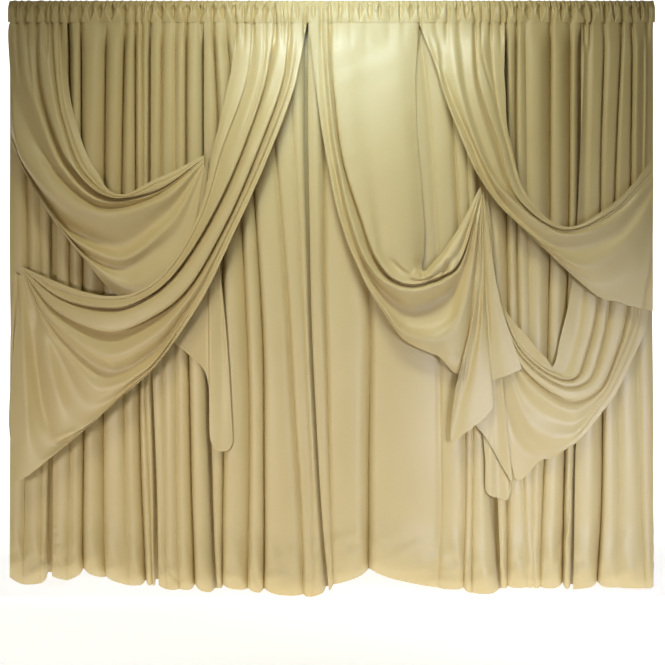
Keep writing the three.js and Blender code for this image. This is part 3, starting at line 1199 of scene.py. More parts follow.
@dataclass(frozen=True)
class SwagPanel(ClothPiece):
    """A panel that is swept aside and pinned, so that its folds sag from the heading to the pin.

    Attributes:
        depths: Millimetres forward of the rod at each station, from the head to the pin.
        lines: Its lines from the upper edge to the lower one.
        tail: Its loose end, where it has one.
        creases: Creases and puckers on it.
        fullness: Factor on the relief of the folds below the head.
        room: Steps between lines from which they have their full relief.
        crowding: How fast the relief eases off where lines crowd.
        lip_most: Largest share of the way to the line above at which a lip lies.
        lip_stands: Shares of the relief of the line above and of the trough by which a lip stands forward.
        along: Samples between two stations.
        across: Samples between two lines.
        unevenness: Millimetres that the cloth is uneven, and the length of one swell, in steps.
    """

    HELD: ClassVar[Held] = Held.DRAPED
    depths: tuple[float, ...]
    lines: tuple[FoldLine, ...]
    tail: Tail | None = None
    creases: tuple[Crease | Puckers, ...] = ()
    fullness: float = 1.7
    room: float = 6.0
    crowding: float = 1.4
    lip_most: float = 0.6
    lip_stands: Pair = (0.75, 0.25)
    along: int = 20
    across: int = 9
    unevenness: Pair = (1.2, 30.0)

    def _relief(self, room: np.ndarray) -> np.ndarray:
        """Gives the relief of each line at each station, eased off where the lines crowd.

        Args:
            room: Steps from each line to its neighbours, by line and station.

        Returns:
            Millimetres forward of the swag's own depth, by line and station.
        """
        last = len(self.depths) - 1
        reliefs = []
        for line in self.lines:
            head, sag, pin = line.relief
            values = [head, self.fullness * sag, self.fullness * sag, pin]
            reliefs.append(np.interp(np.arange(last + 1), [0, last - 3, last - 2, last], values))
        return np.array(reliefs) * np.clip(room / self.room, 0, 1) ** self.crowding

    def _stops(self) -> np.ndarray:
        """Sets out the swag's lines, with a lip added over each crisp trough.

        Returns:
            Column, row and millimetres forward, by line and station.
        """
        places = np.array([line.places for line in self.lines], dtype=float)
        steps = np.linalg.norm(np.diff(places, axis=0), axis=-1)
        room = 0.5 * (np.concatenate([steps[:1], steps]) + np.concatenate([steps, steps[-1:]]))
        relief = self._relief(room)
        depths = np.array(self.depths)
        stops = []
        for index, line in enumerate(self.lines):
            if line.lip > 0:
                share = np.minimum(line.lip / np.maximum(steps[index - 1], LEAST_SPAN), self.lip_most)
                share = share[:, None]
                place = places[index] + (places[index - 1] - places[index]) * share
                above, trough = self.lip_stands
                stand = above * relief[index - 1] + trough * np.abs(relief[index])
                stops.append(np.column_stack([place, depths + stand]))
            stops.append(np.column_stack([places[index], depths + relief[index]]))
        return np.array(stops)

    def drawn(self) -> list[np.ndarray]:
        """Works out the swag's places on the drawing.

        Returns:
            The swag's own grid and, where it has one, its tail's, before their creases.
        """
        stops = self._stops()
        middle = len(stops) // 2
        spans = spans_between(stops[middle])
        lines = [smooth_path(stops[middle], self.along)]
        for index in range(middle, len(stops) - 1):
            lines.append(lines[-1] + steady_path(stops[index + 1] - stops[index], spans, self.along))
        for index in range(middle, 0, -1):
            lines.insert(0, lines[0] + steady_path(stops[index - 1] - stops[index], spans, self.along))
        grids = [smooth_path(np.array(lines), self.across)]
        if self.tail:
            tails = [lines[-1][-self.along - 1:][::-1]]
            for line in self.tail.lines:
                forward = np.array(self.tail.depths) + np.array(line.relief)
                tails.append(smooth_path(np.column_stack([np.array(line.places), forward]), self.along // 2))
            grids.append(smooth_path(np.array(tails), self.across))
        return grids

    def grids(self) -> list[tuple[np.ndarray, Hems]]:
        """Gives the swag and its tail in metres, creased and run up to the stitching, and their hems.

        Returns:
            Each grid with its hems.
        """
        height, size = self.unevenness
        hems = (True, True, False, False), (False, True, False, True)
        laid = []
        for drawn, hem in zip(self.drawn(), hems):
            columns, rows, forward = drawn[..., 0], drawn[..., 1], drawn[..., 2]
            for crease in self.creases:
                forward += crease.relief(columns, rows)
            forward += height * uneven(columns, rows, size, float(ord(self.node[-1])))
            drawn[..., 2] = SHIRRING.blend(columns, rows, forward)
            places = ELEVATION.place(drawn)
            places[..., 2] = np.minimum(places[..., 2], STITCH_LEVEL)
            laid.append((places, hem))
        return laid


@dataclass(frozen=True)
class Heading(ClothPiece):
    """The shirred rod pocket along the top, with its thin frill.

    Attributes:
        half_length: Half its length, in millimetres.
        ring: Round the rod from the front seam over the top to the back seam: forward and up in millimetres,
            the share of the gathered line's gaps there, how far the fine gathers cut in, in millimetres, and
            how far up the tents it is.
        gather: Columns from one fine gather to the next.
        strays: Two ways that the gathers stray: by how many gathers, over how many columns, and the start.
        vary: How much the gathers vary in depth, and over how many columns.
        ends: Share of the length over which the gathers come in at each end.
        frill_starts: Height where the frill starts and the height in which it comes in, in millimetres.
        frill_wave: Millimetres that the frill's edge rises and falls, and that it lies lower on the whole.
        cells: Cells in each fine gather.
        per_gap: Cells between two points of the ring.
    """

    RESTS_ON: ClassVar[tuple[str, ...]] = ()
    THICKNESS: ClassVar[float] = 0.0014
    node: str = "heading"
    flat: Pair = (4.4, 0.30)
    half_length: float = 1640.0
    ring: tuple[tuple[float, float, float, float, float], ...] = (
        (35, -51.4, 1.0, 0.0, 0.0),
        (35.6, -46, 1.0, 0.2, 0.1),
        (37, -34, 1.0, 0.6, 0.3),
        (38, -20, 0.9, 1.4, 0.55),
        (38, -4, 0.7, 3.0, 0.8),
        (37, 12, 0.5, 8.0, 1.0),
        (33, 28, 0.3, 13.0, 0.7),
        (22, 44, 0.2, 12.0, 0.3),
        (5, 67, 0.05, 4.0, 0.0),
        (-4, 67, 0.05, 3.0, 0.0),
        (-14, 48, 0.1, 4.0, 0.0),
        (-27, 32, 0.1, 4.0, 0.0),
        (-32, 6, 0.2, 3.6, 0.0),
        (-33, -24, 0.3, 2.0, 0.0),
        (-33, -51.4, 0.3, 1.0, 0.0),
    )
    gather: float = 3.7
    strays: tuple[Triple, Triple] = ((0.8, 11.0, 0.0), (0.4, 4.6, 1.0))
    vary: Pair = (0.25, 7.3)
    ends: float = 1 / 60
    frill_starts: Pair = (46.0, 20.0)
    frill_wave: Pair = (2.0, 1.4)
    cells: int = 6
    per_gap: int = 3

    def grids(self) -> list[tuple[np.ndarray, Hems]]:
        """Gives the heading as one grid in metres, with no hem.

        Returns:
            The grid with its hems.
        """
        length = 2 * self.half_length / ELEVATION.step
        share = np.linspace(0, 1, round(length / self.gather) * self.cells + 1)
        columns = ELEVATION.middle + length * (share - 0.5)
        turns = columns / self.gather
        for size, run, start in self.strays:
            turns = turns + size * np.sin(columns / run + start)
        fine = 1 - np.abs(np.sin(math.pi * turns))
        fine = fine * (1 - self.vary[0] + self.vary[0] * np.sin(columns / self.vary[1]))
        ring = smooth_path(np.array(self.ring, dtype=float), self.per_gap)
        tents = np.array([SHIRRING.tents(columns, max(level, 0.0)) for level in ring[:, 4]])
        out, up, gaps, gathers = (ring[:, part, None] for part in range(4))
        inward = np.maximum(gaps * SHIRRING.cut(columns), tents) + gathers * fine
        inward = inward * ease(np.minimum(share, 1 - share) / self.ends)
        forward = out - np.sign(out) * inward
        frill = np.clip((up - self.frill_starts[0]) / self.frill_starts[1], 0, 1)
        height = up + frill * (self.frill_wave[0] * np.sin(math.pi * turns) - self.frill_wave[1])
        across = np.broadcast_to(self.half_length * (2 * share - 1), forward.shape)
        return [(MM * np.stack([across, -forward, height], axis=-1), (False, False, False, False))]


BACK_PANELS = (
    BackPanel(
        node="back_panel_1",
        flat=(0.41, 2.98),
        gaps=(
            Gap(10, 10, 10, 578, (6, 36), (2, 6), (4, 4)),
            Gap(24, 28, 22, 585, (6, 38), (31, 4), (6, 9)),
            Gap(38, 41, 41, 584, (6, 36), (14, 3), (9, 9)),
            Gap(52, 50, 49, 578, (6, 30), (41, 41), (5, 4)),
        ),
        creases=(
            Crease(11, 4.0, ((28, 576), (40, 568), (53, 562)), fades=(0.2, 0.1)),
            Crease(-10, 2.4, ((30, 583), (44, 576), (54, 567)), fades=(0.2, 0.1)),
        ),
    ),
    BackPanel(
        node="back_panel_2",
        flat=(1.1, 2.98),
        gaps=(
            Gap(58, 56, 51.5, 577, (6, 42), (2, 4), (4, 3)),
            Gap(69.5, 70, 68, 581, (30, 36), (44, 4), (5, 7)),
            Gap(81, 83, 84.5, 573, (31, 38), (58, 26), (5, 5)),
            Gap(107, 104.5, 105, 579, (31, 38), (37, 14), (15, 4)),
            Gap(125.5, 122, 129, 586, (30, 38), (54, 4), (6, 6)),
            Gap(135.5, 138, 146, 585, (30, 36), (41, 28), (6, 3)),
            Gap(142, 144.5, 152, 586, (30, 34), (16, 12), (3, 3)),
            Gap(149.5, 150, 157, 585, (28, 30), (44, 44), (3, 3)),
        ),
        creases=(
            Puckers(3.5, 3.0, 9.0, ((58, 455), (57, 500), (56, 535), (57, 570))),
            Puckers(3.0, 5.0, 16.0, ((146, 375), (150, 450), (152, 520), (153, 580))),
            Crease(9, 3.5, ((86, 571), (94, 569), (104, 573)), fades=(0.2, 0.2)),
        ),
    ),
    BackPanel(
        node="back_panel_3",
        flat=(0.58, 3.0),
        gaps=(
            Gap(151, 152, 159, 586, (31, 40), (4, 6), (3, 3)),
            Gap(162, 162, 168, 590, (30, 40), (27, 1), (5, 4)),
            Gap(175.5, 176, 178, 590, (30, 38), (15, 6), (7, 6)),
            Gap(186.5, 187.5, 195, 590, (31, 54), (51, 32), (6, 3.5)),
            Gap(203, 206, 215, 594, (30, 40), (37, 37), (7, 3)),
        ),
        creases=(
            Puckers(2.5, 4.0, 22.0, ((205, 390), (203, 480), (199, 560), (200, 590))),
            Crease(-8, 2.0, ((164, 560), (170, 572), (182, 585)), fades=(0.4, 0.1)),
        ),
    ),
    BackPanel(
        node="back_panel_4",
        flat=(1.06, 3.0),
        gaps=(
            Gap(204, 207, 218, 588, (26, 34), (4, 6), (3, 3)),
            Gap(213, 223.5, 221, 588, (28, 38), (44, 24), (6, 4)),
            Gap(226, 247, 248, 591, (20, 40), (20, 16), (16, 3)),
            Gap(238, 261, 264, 594, (6, 44), (30, 40), (6, 3)),
            Gap(262, 288.5, 303, 597, (6, 42), (16, 16), (7, 3)),
            Gap(285, 304, 315, 597, (6, 40), (8, 4), (6, 5)),
            Gap(306, 309, 326, 592, (6, 36), (27, 31), (4, 3)),
        ),
        creases=(
            Puckers(4.0, 3.5, 10.0, ((307, 130), (308, 260), (311, 350), (312, 400), (317, 450), (322, 510),
                    (328, 575))),
            Crease(8, 3.5, ((221, 580), (234, 576), (247, 580)), fades=(0.2, 0.2)),
            Crease(-10, 2.6, ((248, 562), (255, 578), (262, 592)), fades=(0.4, 0.0)),
            Crease(9, 4.0, ((262, 585), (275, 575), (296, 582)), fades=(0.3, 0.3)),
        ),
    ),
    BackPanel(
        node="back_panel_5",
        flat=(1.38, 3.0),
        gaps=(
            Gap(308.5, 311.5, 328, 592, (12, 30), (4, 4), (3, 3)),
            Gap(325, 325.5, 333, 586, (6, 28), (34, 10), (5, 4)),
            Gap(362, 370, 369, 574, (6, 46), (16, 31), (8, 3.5)),
            Gap(420, 440, 437, 589, (6, 44), (8, 8), (6, 4)),
            Gap(447, 462.5, 465, 590, (6, 42), (19, 14), (5, 3)),
            Gap(461, 472, 471.5, 594, (6, 48), (19, 8), (4, 3)),
            Gap(477, 480, 499, 594, (6, 40), (34, 34), (5, 3)),
        ),
        creases=(
            Crease(9, 5.0, ((378, 581), (420, 584), (470, 581)), fades=(0.1, 0.1)),
            Crease(-7, 2.6, ((376, 573), (420, 576), (470, 573)), fades=(0.2, 0.2)),
            Crease(8, 3.5, ((335, 586), (348, 577), (362, 574)), fades=(0.3, 0.1)),
        ),
    ),
    BackPanel(
        node="back_panel_6",
        flat=(0.98, 3.0),
        gaps=(
            Gap(479, 490, 501, 588, (6, 36), (4, 4), (3, 3)),
            Gap(506, 507.5, 507, 588, (28, 40), (37, 14), (5, 5)),
            Gap(516.5, 518, 527, 588, (30, 40), (51, 2), (3, 4)),
            Gap(525, 529, 534, 588, (31, 40), (12, 1), (6, 6)),
            Gap(550.5, 549, 540, 589, (31, 40), (48, 14), (9, 4)),
            Gap(570.5, 568, 562, 588, (30, 46), (34, 37), (10, 4)),
            Gap(580, 577, 571, 590, (26, 36), (41, 34), (3, 3)),
        ),
        creases=(
            Crease(-9, 1.8, ((570, 480), (565, 530), (558, 547), (554, 572), (556, 586)), fades=(0.2, 0.1)),
            Crease(7, 3.0, ((572, 480), (569, 530), (563, 552), (561, 578)), fades=(0.2, 0.1)),
            Crease(8, 4.0, ((510, 583), (530, 578), (548, 582)), fades=(0.3, 0.3)),
        ),
    ),
    BackPanel(
        node="back_panel_7",
        flat=(0.66, 3.0),
        gaps=(
            Gap(581.5, 579, 573, 590, (8, 42), (3, 4), (3, 3)),
            Gap(589, 604, 597, 587, (6, 40), (14, 37), (4, 3.5)),
            Gap(612, 616, 619, 588, (6, 40), (8, 3), (8, 8)),
            Gap(632, 636, 645, 589, (6, 40), (8, 3), (6, 6)),
            Gap(653, 653, 653, 588, (6, 36), (8, 8), (4, 3)),
        ),
        lap=Lap(columns=0.0, behind=20.0),
    ),
)

SWAG_1 = SwagPanel(
    node="swag_panel_1",
    flat=(0.95, 1.6),
    depths=(30, 50, 66, 82, 92, 78, 50),
    lines=(
        fold(0, -24, 0, (67, 22), (68, 80), (76, 122), (95.5, 169), (117, 194), (160, 177), (204, 155)),
        fold(-16, -12, -1, (60.5, 22), (62.5, 80), (69.5, 122), (89, 170), (117, 195), (160, 179),
             (204, 155.6)),
        fold(6, 8, 1, (56, 22), (59, 80), (66, 122), (84.5, 170), (116.5, 195.6), (160, 180.5),
             (204, 156.2)),
        fold(-16, -5, 0, (51.5, 22), (55.5, 80), (63, 122), (82, 171), (116, 196.4), (160, 182),
             (204, 156.8), lip=1.4),
        fold(10, 14, 2, (43, 22), (50, 80), (59, 123), (79, 172), (113, 197.4), (160, 184), (204, 157.6)),
        fold(-18, -20, -3, (36.5, 22), (41, 80), (51, 122), (71, 165), (104, 195), (155, 191), (204, 158.6),
             lip=2.0),
        fold(8, 8, 1, (22, 22), (29, 80), (41, 120), (62, 168), (98, 200), (153, 194.5), (204, 159.4)),
        fold(-4, -4, -1, (10, 22), (21, 86), (34, 123), (55, 166), (97, 203), (151, 196.5), (204, 160)),
        fold(-6, -14, -2, (10, 75), (16, 95), (27, 125), (47, 160), (97, 206), (150, 198.5), (204, 160.6)),
        fold(2, 24, 3, (10, 122), (16, 143), (30, 169), (55, 194), (103, 214), (159, 200.5), (204, 161.4)),
        fold(0, -28, -4, (10, 133), (18, 153), (35, 184), (62, 222), (115, 246), (165, 215), (204, 162.6)),
        fold(0, 10, 0, (10, 138), (19, 158), (38, 193), (68, 234), (117, 259), (168, 226), (204.2, 164)),
        fold(0, -12, -2, (10, 140), (20, 161), (41, 199), (74, 244), (120, 268), (172, 238),
             (204.4, 165.4)),
        fold(0, 12, 0, (10, 142), (21, 163), (44, 204), (80, 251), (126, 286), (178, 262), (204.6, 167)),
        fold(0, -4, 0, (10, 145), (23, 166), (47, 211), (84, 259), (122, 298), (174, 343), (205, 170)),
    ),
    tail=Tail(
        depths=(50, 56, 56),
        lines=(
            fold(0, 6, 8, (205.3, 167), (198, 290), (188, 354)),
            fold(0, -6, -6, (205.6, 164.5), (206, 290), (206, 374)),
            fold(2, 6, 4, (205.9, 162.5), (211, 320), (210.5, 440)),
            fold(0, 2, 4, (206.2, 161), (216, 320), (215, 449)),
            fold(-4, -6, 2, (206.5, 160), (221, 320), (222, 451.5)),
            fold(0, 0, 2, (206.8, 159), (224, 325), (229, 449.5)),
            fold(0, 0, 0, (207, 158.5), (226, 330), (233, 441)),
        ),
    ),
    creases=(
        Crease(-14, 1.9, ((26, 22), (27, 50), (28, 62), (30, 80), (33, 100)), fades=(0.0, 0.4)),
        Crease(-12, 1.6, ((47, 22), (46.5, 45), (46, 62)), fades=(0.0, 0.4)),
        Crease(-9, 2.2, ((16.5, 22), (18, 60), (21, 90)), fades=(0.0, 0.4)),
        Puckers(3.0, 6.0, 8.0, ((184, 336), (195, 350), (205, 363))),
        Crease(-8, 1.5, ((221, 258), (221, 290), (224, 325)), fades=(0.3, 0.3)),
    ),
)

SWAG_2 = SwagPanel(
    node="swag_panel_2",
    flat=(1.12, 1.7),
    depths=(28, 70, 110, 140, 155, 160, 158, 108, 52),
    lines=(
        fold(0, -4, 0, (237, 22), (229, 80), (215, 140), (199, 213), (165, 270), (140, 290), (112, 296),
             (62, 284), (20.5, 266)),
        fold(6, 6, 2, (245, 22), (238, 80), (220, 140), (200.5, 214), (166, 271.5), (140.5, 291.5),
             (112, 297.5), (62, 287), (20.7, 266.7)),
        fold(-8, -6, -2, (253, 22), (247, 80), (226, 140), (202.5, 215), (167.3, 273), (141, 293),
             (112, 299.5), (62, 290), (20.9, 267.3), lip=1.6),
        fold(8, 4, 1, (262, 22), (256, 80), (236, 140), (207, 215.5), (169, 275), (142, 295.5), (113, 302),
             (62, 294), (21.1, 268)),
        fold(-14, -26, -4, (275, 22), (266, 80), (246, 140), (213, 215), (172, 278), (144, 299.5),
             (115, 308), (62, 299), (21.4, 268.7), lip=1.8),
        fold(8, 10, 2, (282, 22), (273, 80), (254, 140), (219, 220), (177, 283), (148, 305), (114, 317),
             (62, 303.5), (21.6, 269.3)),
        fold(-12, -18, -4, (290, 22), (283, 80), (262, 140), (225, 225), (185, 291), (153, 316), (114, 331),
             (58, 312), (21.8, 270), lip=1.8),
        fold(6, 16, 3, (296, 22), (289, 80), (268, 140), (229, 227.5), (190, 297), (155, 335.5), (112, 356),
             (56, 321), (22, 270.7)),
        fold(-2, -14, -3, (301, 22), (292, 80), (271, 140), (231, 228.3), (193, 301), (154, 351),
             (113, 371), (54, 328), (22.2, 271.3)),
        fold(0, 6, 2, (303, 22), (293.5, 80), (272.4, 140), (232.5, 228.8), (194.5, 303), (148, 367),
             (104, 389), (57, 343), (22.4, 272)),
        fold(0, -7, -2, (304.2, 22), (294.4, 80), (273.3, 140), (233.5, 229.2), (195.5, 304.3),
             (145.5, 371.5), (94, 406), (56, 352), (22.7, 272.7)),
        fold(0, 3, 1, (305.2, 22), (295, 80), (274, 140), (234.2, 229.5), (196.2, 305.2), (143.5, 375.5),
             (76, 430), (47, 370), (22.9, 273.3)),
        fold(0, -8, -5, (306, 22), (295.5, 80), (274.5, 140), (234.8, 229.7), (196.8, 306), (142, 378.3),
             (55, 444), (37, 370), (23.1, 274)),
        fold(0, 3, 2, (306.6, 22), (295.8, 80), (274.8, 140), (235.2, 229.9), (197.2, 306.5), (141, 380),
             (39, 462), (26, 380), (21.5, 274.8)),
        fold(0, 0, 0, (307, 22), (296, 80), (275, 140), (235.5, 230), (197.5, 307), (140.3, 381.3),
             (23, 479), (10.5, 440), (19, 275.5)),
    ),
    tail=Tail(
        depths=(52, 64, 62),
        lines=(
            fold(2, 8, 8, (18.4, 275), (18, 330), (17, 384)),
            fold(0, -4, -2, (17.4, 274), (15.5, 335), (14.5, 392)),
            fold(2, 6, 6, (15.5, 273), (12.5, 335), (11.5, 399)),
            fold(0, 0, 0, (14, 272), (10.5, 335), (10, 401)),
        ),
    ),
    creases=(
        Crease(-8, 1.6, ((266, 23), (264, 58), (259, 87), (251, 113), (241, 143), (235, 160)),
               fades=(0.0, 0.3)),
        Crease(-6, 4.0, ((288, 45), (275, 83), (258, 125), (247, 155))),
        Puckers(3.5, 5.0, 9.0, ((221, 118), (215, 140), (210, 155), (207, 175), (203, 195))),
        Crease(-5, 1.5, ((31, 276), (49, 286), (65, 293), (79, 299), (91, 299))),
        Crease(-18, 5.0, ((34, 296), (36, 347), (40, 393), (53, 442)), fades=(0.3, 0.15)),
        Crease(18, 7.0, ((44, 300), (47, 345), (54, 385), (66, 420)), fades=(0.3, 0.25)),
        Crease(12, 4.5, ((22, 278), (23, 330), (25, 400), (29, 452)), fades=(0.2, 0.2)),
        Crease(12, 3.0, ((52, 440), (66, 435), (79, 430))),
        Crease(-12, 2.0, ((54, 447), (66, 442), (80, 433))),
        Puckers(4.0, 5.0, 7.0, ((50, 450), (60, 446), (70, 441))),
    ),
    fullness=2.1,
)

SWAG_3 = SwagPanel(
    node="swag_panel_3",
    flat=(1.05, 1.6),
    depths=(28, 40, 56, 74, 88, 98, 104, 98, 84, 54),
    lines=(
        fold(-4, -34, 2, (419, 22), (415.5, 90), (419, 160), (424, 220), (424, 250), (422, 265), (424, 271),
             (436, 259), (452, 238), (480.3, 187)),
        fold(2, -2, 8, (402, 22), (400, 90), (404, 160), (409, 222), (410, 252), (413, 268), (424, 276),
             (438, 264), (454, 243), (480.5, 188)),
        fold(0, 8, 10, (386, 22), (386, 90), (386, 160), (392, 222), (396, 252), (405, 270), (420, 279),
             (439, 269), (455, 250), (480.7, 189)),
        fold(-4, 2, 6, (367, 22), (366, 90), (372, 160), (380, 225), (386, 254), (398, 272), (416, 281),
             (439, 273), (456, 256), (481, 190)),
        fold(4, 16, 8, (348, 22), (348, 90), (355, 160), (371, 223), (379, 256), (393, 275), (413, 283),
             (438, 276), (457, 261), (481.2, 191)),
        fold(-12, -26, -8, (329, 22), (333.5, 88), (343, 160), (362, 222), (374, 256), (390, 278),
             (411, 285.5), (437, 279), (457.5, 266), (481.4, 192), lip=2.2),
        fold(8, 22, 0, (326, 22), (329, 88), (338, 160), (352, 222), (365, 257), (384, 281), (411, 291.5),
             (436, 285), (457.5, 272), (481.6, 193)),
        fold(-8, -26, -16, (321, 22), (324.5, 88), (333, 160), (347, 222), (360, 257), (380, 289),
             (408, 310), (436, 303), (458, 284), (481.8, 194)),
        fold(4, -14, -6, (316, 22), (320, 88), (330, 160), (343.5, 222), (357, 257), (376, 291.5),
             (407, 324), (438, 321), (459, 300), (482.1, 195)),
        fold(2, 16, 12, (312.5, 22), (318, 88), (328.5, 160), (341.7, 221), (355.3, 257), (374, 293),
             (404, 333), (438, 339), (461, 320), (482.3, 196)),
        fold(0, -4, -2, (309, 22), (316, 88), (327, 160), (340, 220), (353.5, 257), (372, 295), (403, 339),
             (436, 355), (461, 371), (482.5, 197)),
    ),
    tail=Tail(
        depths=(54, 84, 104),
        lines=(
            fold(0, 6, 8, (482.6, 196), (476, 300), (456, 386)),
            fold(-2, -8, -6, (482.7, 195), (479, 310), (452, 442)),
            fold(0, 6, 6, (482.8, 194), (482, 320), (464, 434)),
            fold(-2, -6, -6, (482.9, 193), (485, 310), (493, 407)),
            fold(-4, -16, -26, (483, 192), (487, 300), (492, 382)),
            fold(0, -8, -18, (483.1, 191), (493, 300), (506, 376)),
            fold(0, -10, -20, (483.2, 190), (500, 300), (522, 369)),
        ),
    ),
    creases=(
        Crease(-9, 1.7, ((333, 160), (344, 210), (357, 248), (368, 272), (390, 303)), fades=(0.2, 0.3)),
        Crease(-14, 3.0, ((382, 256), (393, 263), (400, 269), (413, 277)), fades=(0.5, 0.15)),
        Crease(8, 2.8, ((413, 270), (418, 273), (423, 276))),
        Crease(-6, 2.4, ((415, 254), (418, 264), (420, 271)), fades=(0.5, 0.1)),
        Crease(16, 5.0, ((423, 275), (436, 267), (448, 254)), fades=(0.1, 0.3)),
        Crease(-16, 2.4, ((426, 281), (440, 281), (446, 270), (451, 257)), fades=(0.1, 0.3)),
        Crease(-12, 3.4, ((475, 206), (464, 245), (457, 272), (449, 305)), fades=(0.15, 0.3)),
        Crease(24, 5.5, ((479, 205), (474, 240), (468, 268), (461, 302), (452, 334)), fades=(0.1, 0.3)),
        Puckers(3.5, 4.0, 13.0, ((414, 95), (417, 145), (420, 180), (424, 224), (425, 250))),
        Crease(-12, 1.8, ((480, 205), (478, 262), (478, 325), (473, 362)), fades=(0.1, 0.3)),
        Crease(-10, 1.8, ((483, 215), (484, 262), (487, 304), (490, 353)), fades=(0.1, 0.2)),
        Crease(18, 2.8, ((443, 362), (458, 366), (473, 372)), fades=(0.1, 0.2)),
        Crease(-16, 2.2, ((442, 370), (457, 377), (472, 379)), fades=(0.1, 0.2)),
        Puckers(3.0, 4.0, 11.0, ((499, 300), (503, 315), (508, 335), (515, 353), (521, 366))),
    ),
)

SWAG_4 = SwagPanel(
    node="swag_panel_4",
    flat=(0.65, 1.3),
    depths=(28, 76, 100, 118, 128, 118, 108),
    lines=(
        fold(0, -4, 0, (505.5, 22), (505, 85), (510, 140), (527, 195), (566, 226.5), (612, 204),
             (653, 159)),
        fold(-12, -4, 0, (490.5, 22), (495, 85), (506, 140), (525, 196), (566, 227.5), (612, 206),
             (653, 161), lip=1.6),
        fold(8, 8, 2, (482, 22), (488, 85), (502, 140), (522, 198), (566, 228.7), (612, 208.7), (653, 165)),
        fold(-14, -16, -3, (475, 22), (479.5, 85), (497, 140), (517, 198), (563, 230.2), (612, 212),
             (653, 171), lip=1.8),
        fold(6, 2, 0, (471, 22), (474, 85), (489, 140), (513, 197), (561, 231.2), (612, 213.5),
             (653, 172.5)),
        fold(-6, -4, -1, (459, 22), (466, 85), (482, 140), (508, 192), (560, 232.2), (612, 215.5),
             (653, 174)),
        fold(6, 12, 3, (452, 22), (459, 85), (475, 140), (504, 192), (562, 234), (612, 221), (653, 181)),
        fold(-8, -8, -2, (438, 22), (447, 85), (470, 140), (500, 199), (560, 248), (614, 236), (653, 189)),
        fold(6, 13, 4, (432, 22), (443, 85), (466, 140), (496, 201), (580, 266), (625, 243), (653, 199)),
        fold(2, -10, -8, (423, 22), (442, 84), (464, 140), (494, 199), (588, 281), (630, 274), (653, 246)),
        fold(0, -8, 0, (418.5, 22), (440.5, 82), (462, 140), (492, 196), (590, 290.6), (620, 302.6),
             (653, 311)),
    ),
    creases=(
        Crease(-7, 1.7, ((430, 38), (445, 79), (463, 124), (481, 162), (500, 199), (520, 224), (538, 241),
               (557, 247), (580, 249)), fades=(0.0, 0.2)),
        Crease(-6, 1.3, ((533, 224), (547, 230), (564, 232), (578, 231))),
        Crease(-10, 1.8, ((653, 248), (652, 272), (648, 290), (646, 304)), fades=(0.3, 0.0)),
        Crease(-7, 1.5, ((481, 50), (489, 80), (497, 105)), fades=(0.2, 0.4)),
    ),
)

SWAG_5 = SwagPanel(
    node="swag_panel_5",
    flat=(1.12, 1.75),
    depths=(28, 46, 54, 62, 74, 84, 72, 56, 36),
    lines=(
        fold(4, 0, 0, (585, 22), (581.5, 130), (571, 290), (561, 335), (553, 366), (545, 357), (523, 332),
             (503, 303), (487, 190)),
        fold(-6, -6, -2, (588.5, 22), (586, 130), (581, 305), (573, 345), (563, 372), (552, 370),
             (525, 350), (504, 311), (487, 190.8)),
        fold(6, 4, 1, (594, 22), (592, 130), (587, 308), (579, 349), (570, 375), (557, 374.5), (526, 353),
             (504.5, 314), (487, 191.7)),
        fold(-14, -14, -3, (604.5, 22), (601, 130), (596, 310), (586, 352), (577, 375.8), (560, 378.5),
             (526, 356.5), (505, 317), (487, 192.5), lip=1.6),
        fold(8, 6, 1, (611, 22), (607, 130), (602, 310), (593, 353), (583, 377.8), (563, 383), (527, 360),
             (506, 322), (487, 193.3)),
        fold(-16, -6, -2, (621.5, 22), (616.5, 130), (608, 310), (599, 355), (588, 380.5), (565, 387),
             (527, 363), (506.5, 327), (487, 194.2), lip=1.6),
        fold(8, 14, 2, (626, 22), (621.5, 130), (615, 312), (606, 356), (594, 384.5), (567, 391.5),
             (528, 367), (507, 333), (487, 195)),
        fold(-14, -10, -3, (632, 22), (630.5, 130), (626, 312), (614, 358), (598, 390), (569, 400),
             (528, 374), (508, 338), (487, 195.8), lip=1.6),
        fold(8, 10, 2, (638, 22), (636.5, 130), (632, 313), (618.5, 359.5), (600, 395), (570, 411.5),
             (529, 385), (509, 345), (487, 196.7)),
        fold(-8, -6, -1, (644, 22), (643, 130), (637, 314), (621.5, 360.3), (601.5, 398), (571, 423),
             (529, 401), (510, 360), (487, 197.5)),
        fold(-4, 6, 1, (646, 22), (645, 130), (639, 314.5), (624, 361), (603, 400.3), (571, 436),
             (531, 425), (512, 380), (487, 198.3)),
        fold(-8, -3, 0, (648, 22), (647.5, 133), (642, 315), (627, 361.5), (605, 402), (572, 441.5),
             (543, 455), (512.5, 440), (487, 199.2)),
        fold(-12, 0, 0, (653, 22), (653, 150), (649, 314), (632.5, 359), (610, 402), (573, 444.5),
             (545, 459), (513, 474), (487, 200)),
    ),
    tail=Tail(
        depths=(36, 58, 66),
        lines=(
            fold(0, 6, 6, (486.4, 200), (500, 360), (512, 482)),
            fold(0, -4, -4, (485.8, 200), (494, 350), (497, 457)),
            fold(0, 6, 4, (485.2, 200), (488, 350), (486, 438)),
            fold(0, 0, 0, (484.4, 200), (480, 340), (472, 420)),
            fold(-2, -8, -10, (484.5, 200), (482, 345), (480, 424)),
            fold(-4, -14, -14, (484.7, 200), (484, 348), (485.3, 462)),
            fold(-4, -12, -10, (484.9, 200), (486, 350), (486, 491)),
            fold(-4, -10, -6, (485.1, 200), (489, 350), (490, 495.5)),
            fold(-4, -20, -18, (485.3, 200), (495, 352), (498.5, 498)),
            fold(-4, -14, -12, (485.5, 200), (501, 355), (507, 500)),
            fold(-4, -18, -22, (485.8, 200), (505, 360), (511.5, 490)),
        ),
    ),
    creases=(
        Crease(-5, 3.0, ((508, 410), (517, 440), (530, 453), (543, 455))),
        Puckers(3.0, 4.0, 10.0, ((487, 440), (497, 457), (507, 472))),
    ),
    fullness=1.25,
)

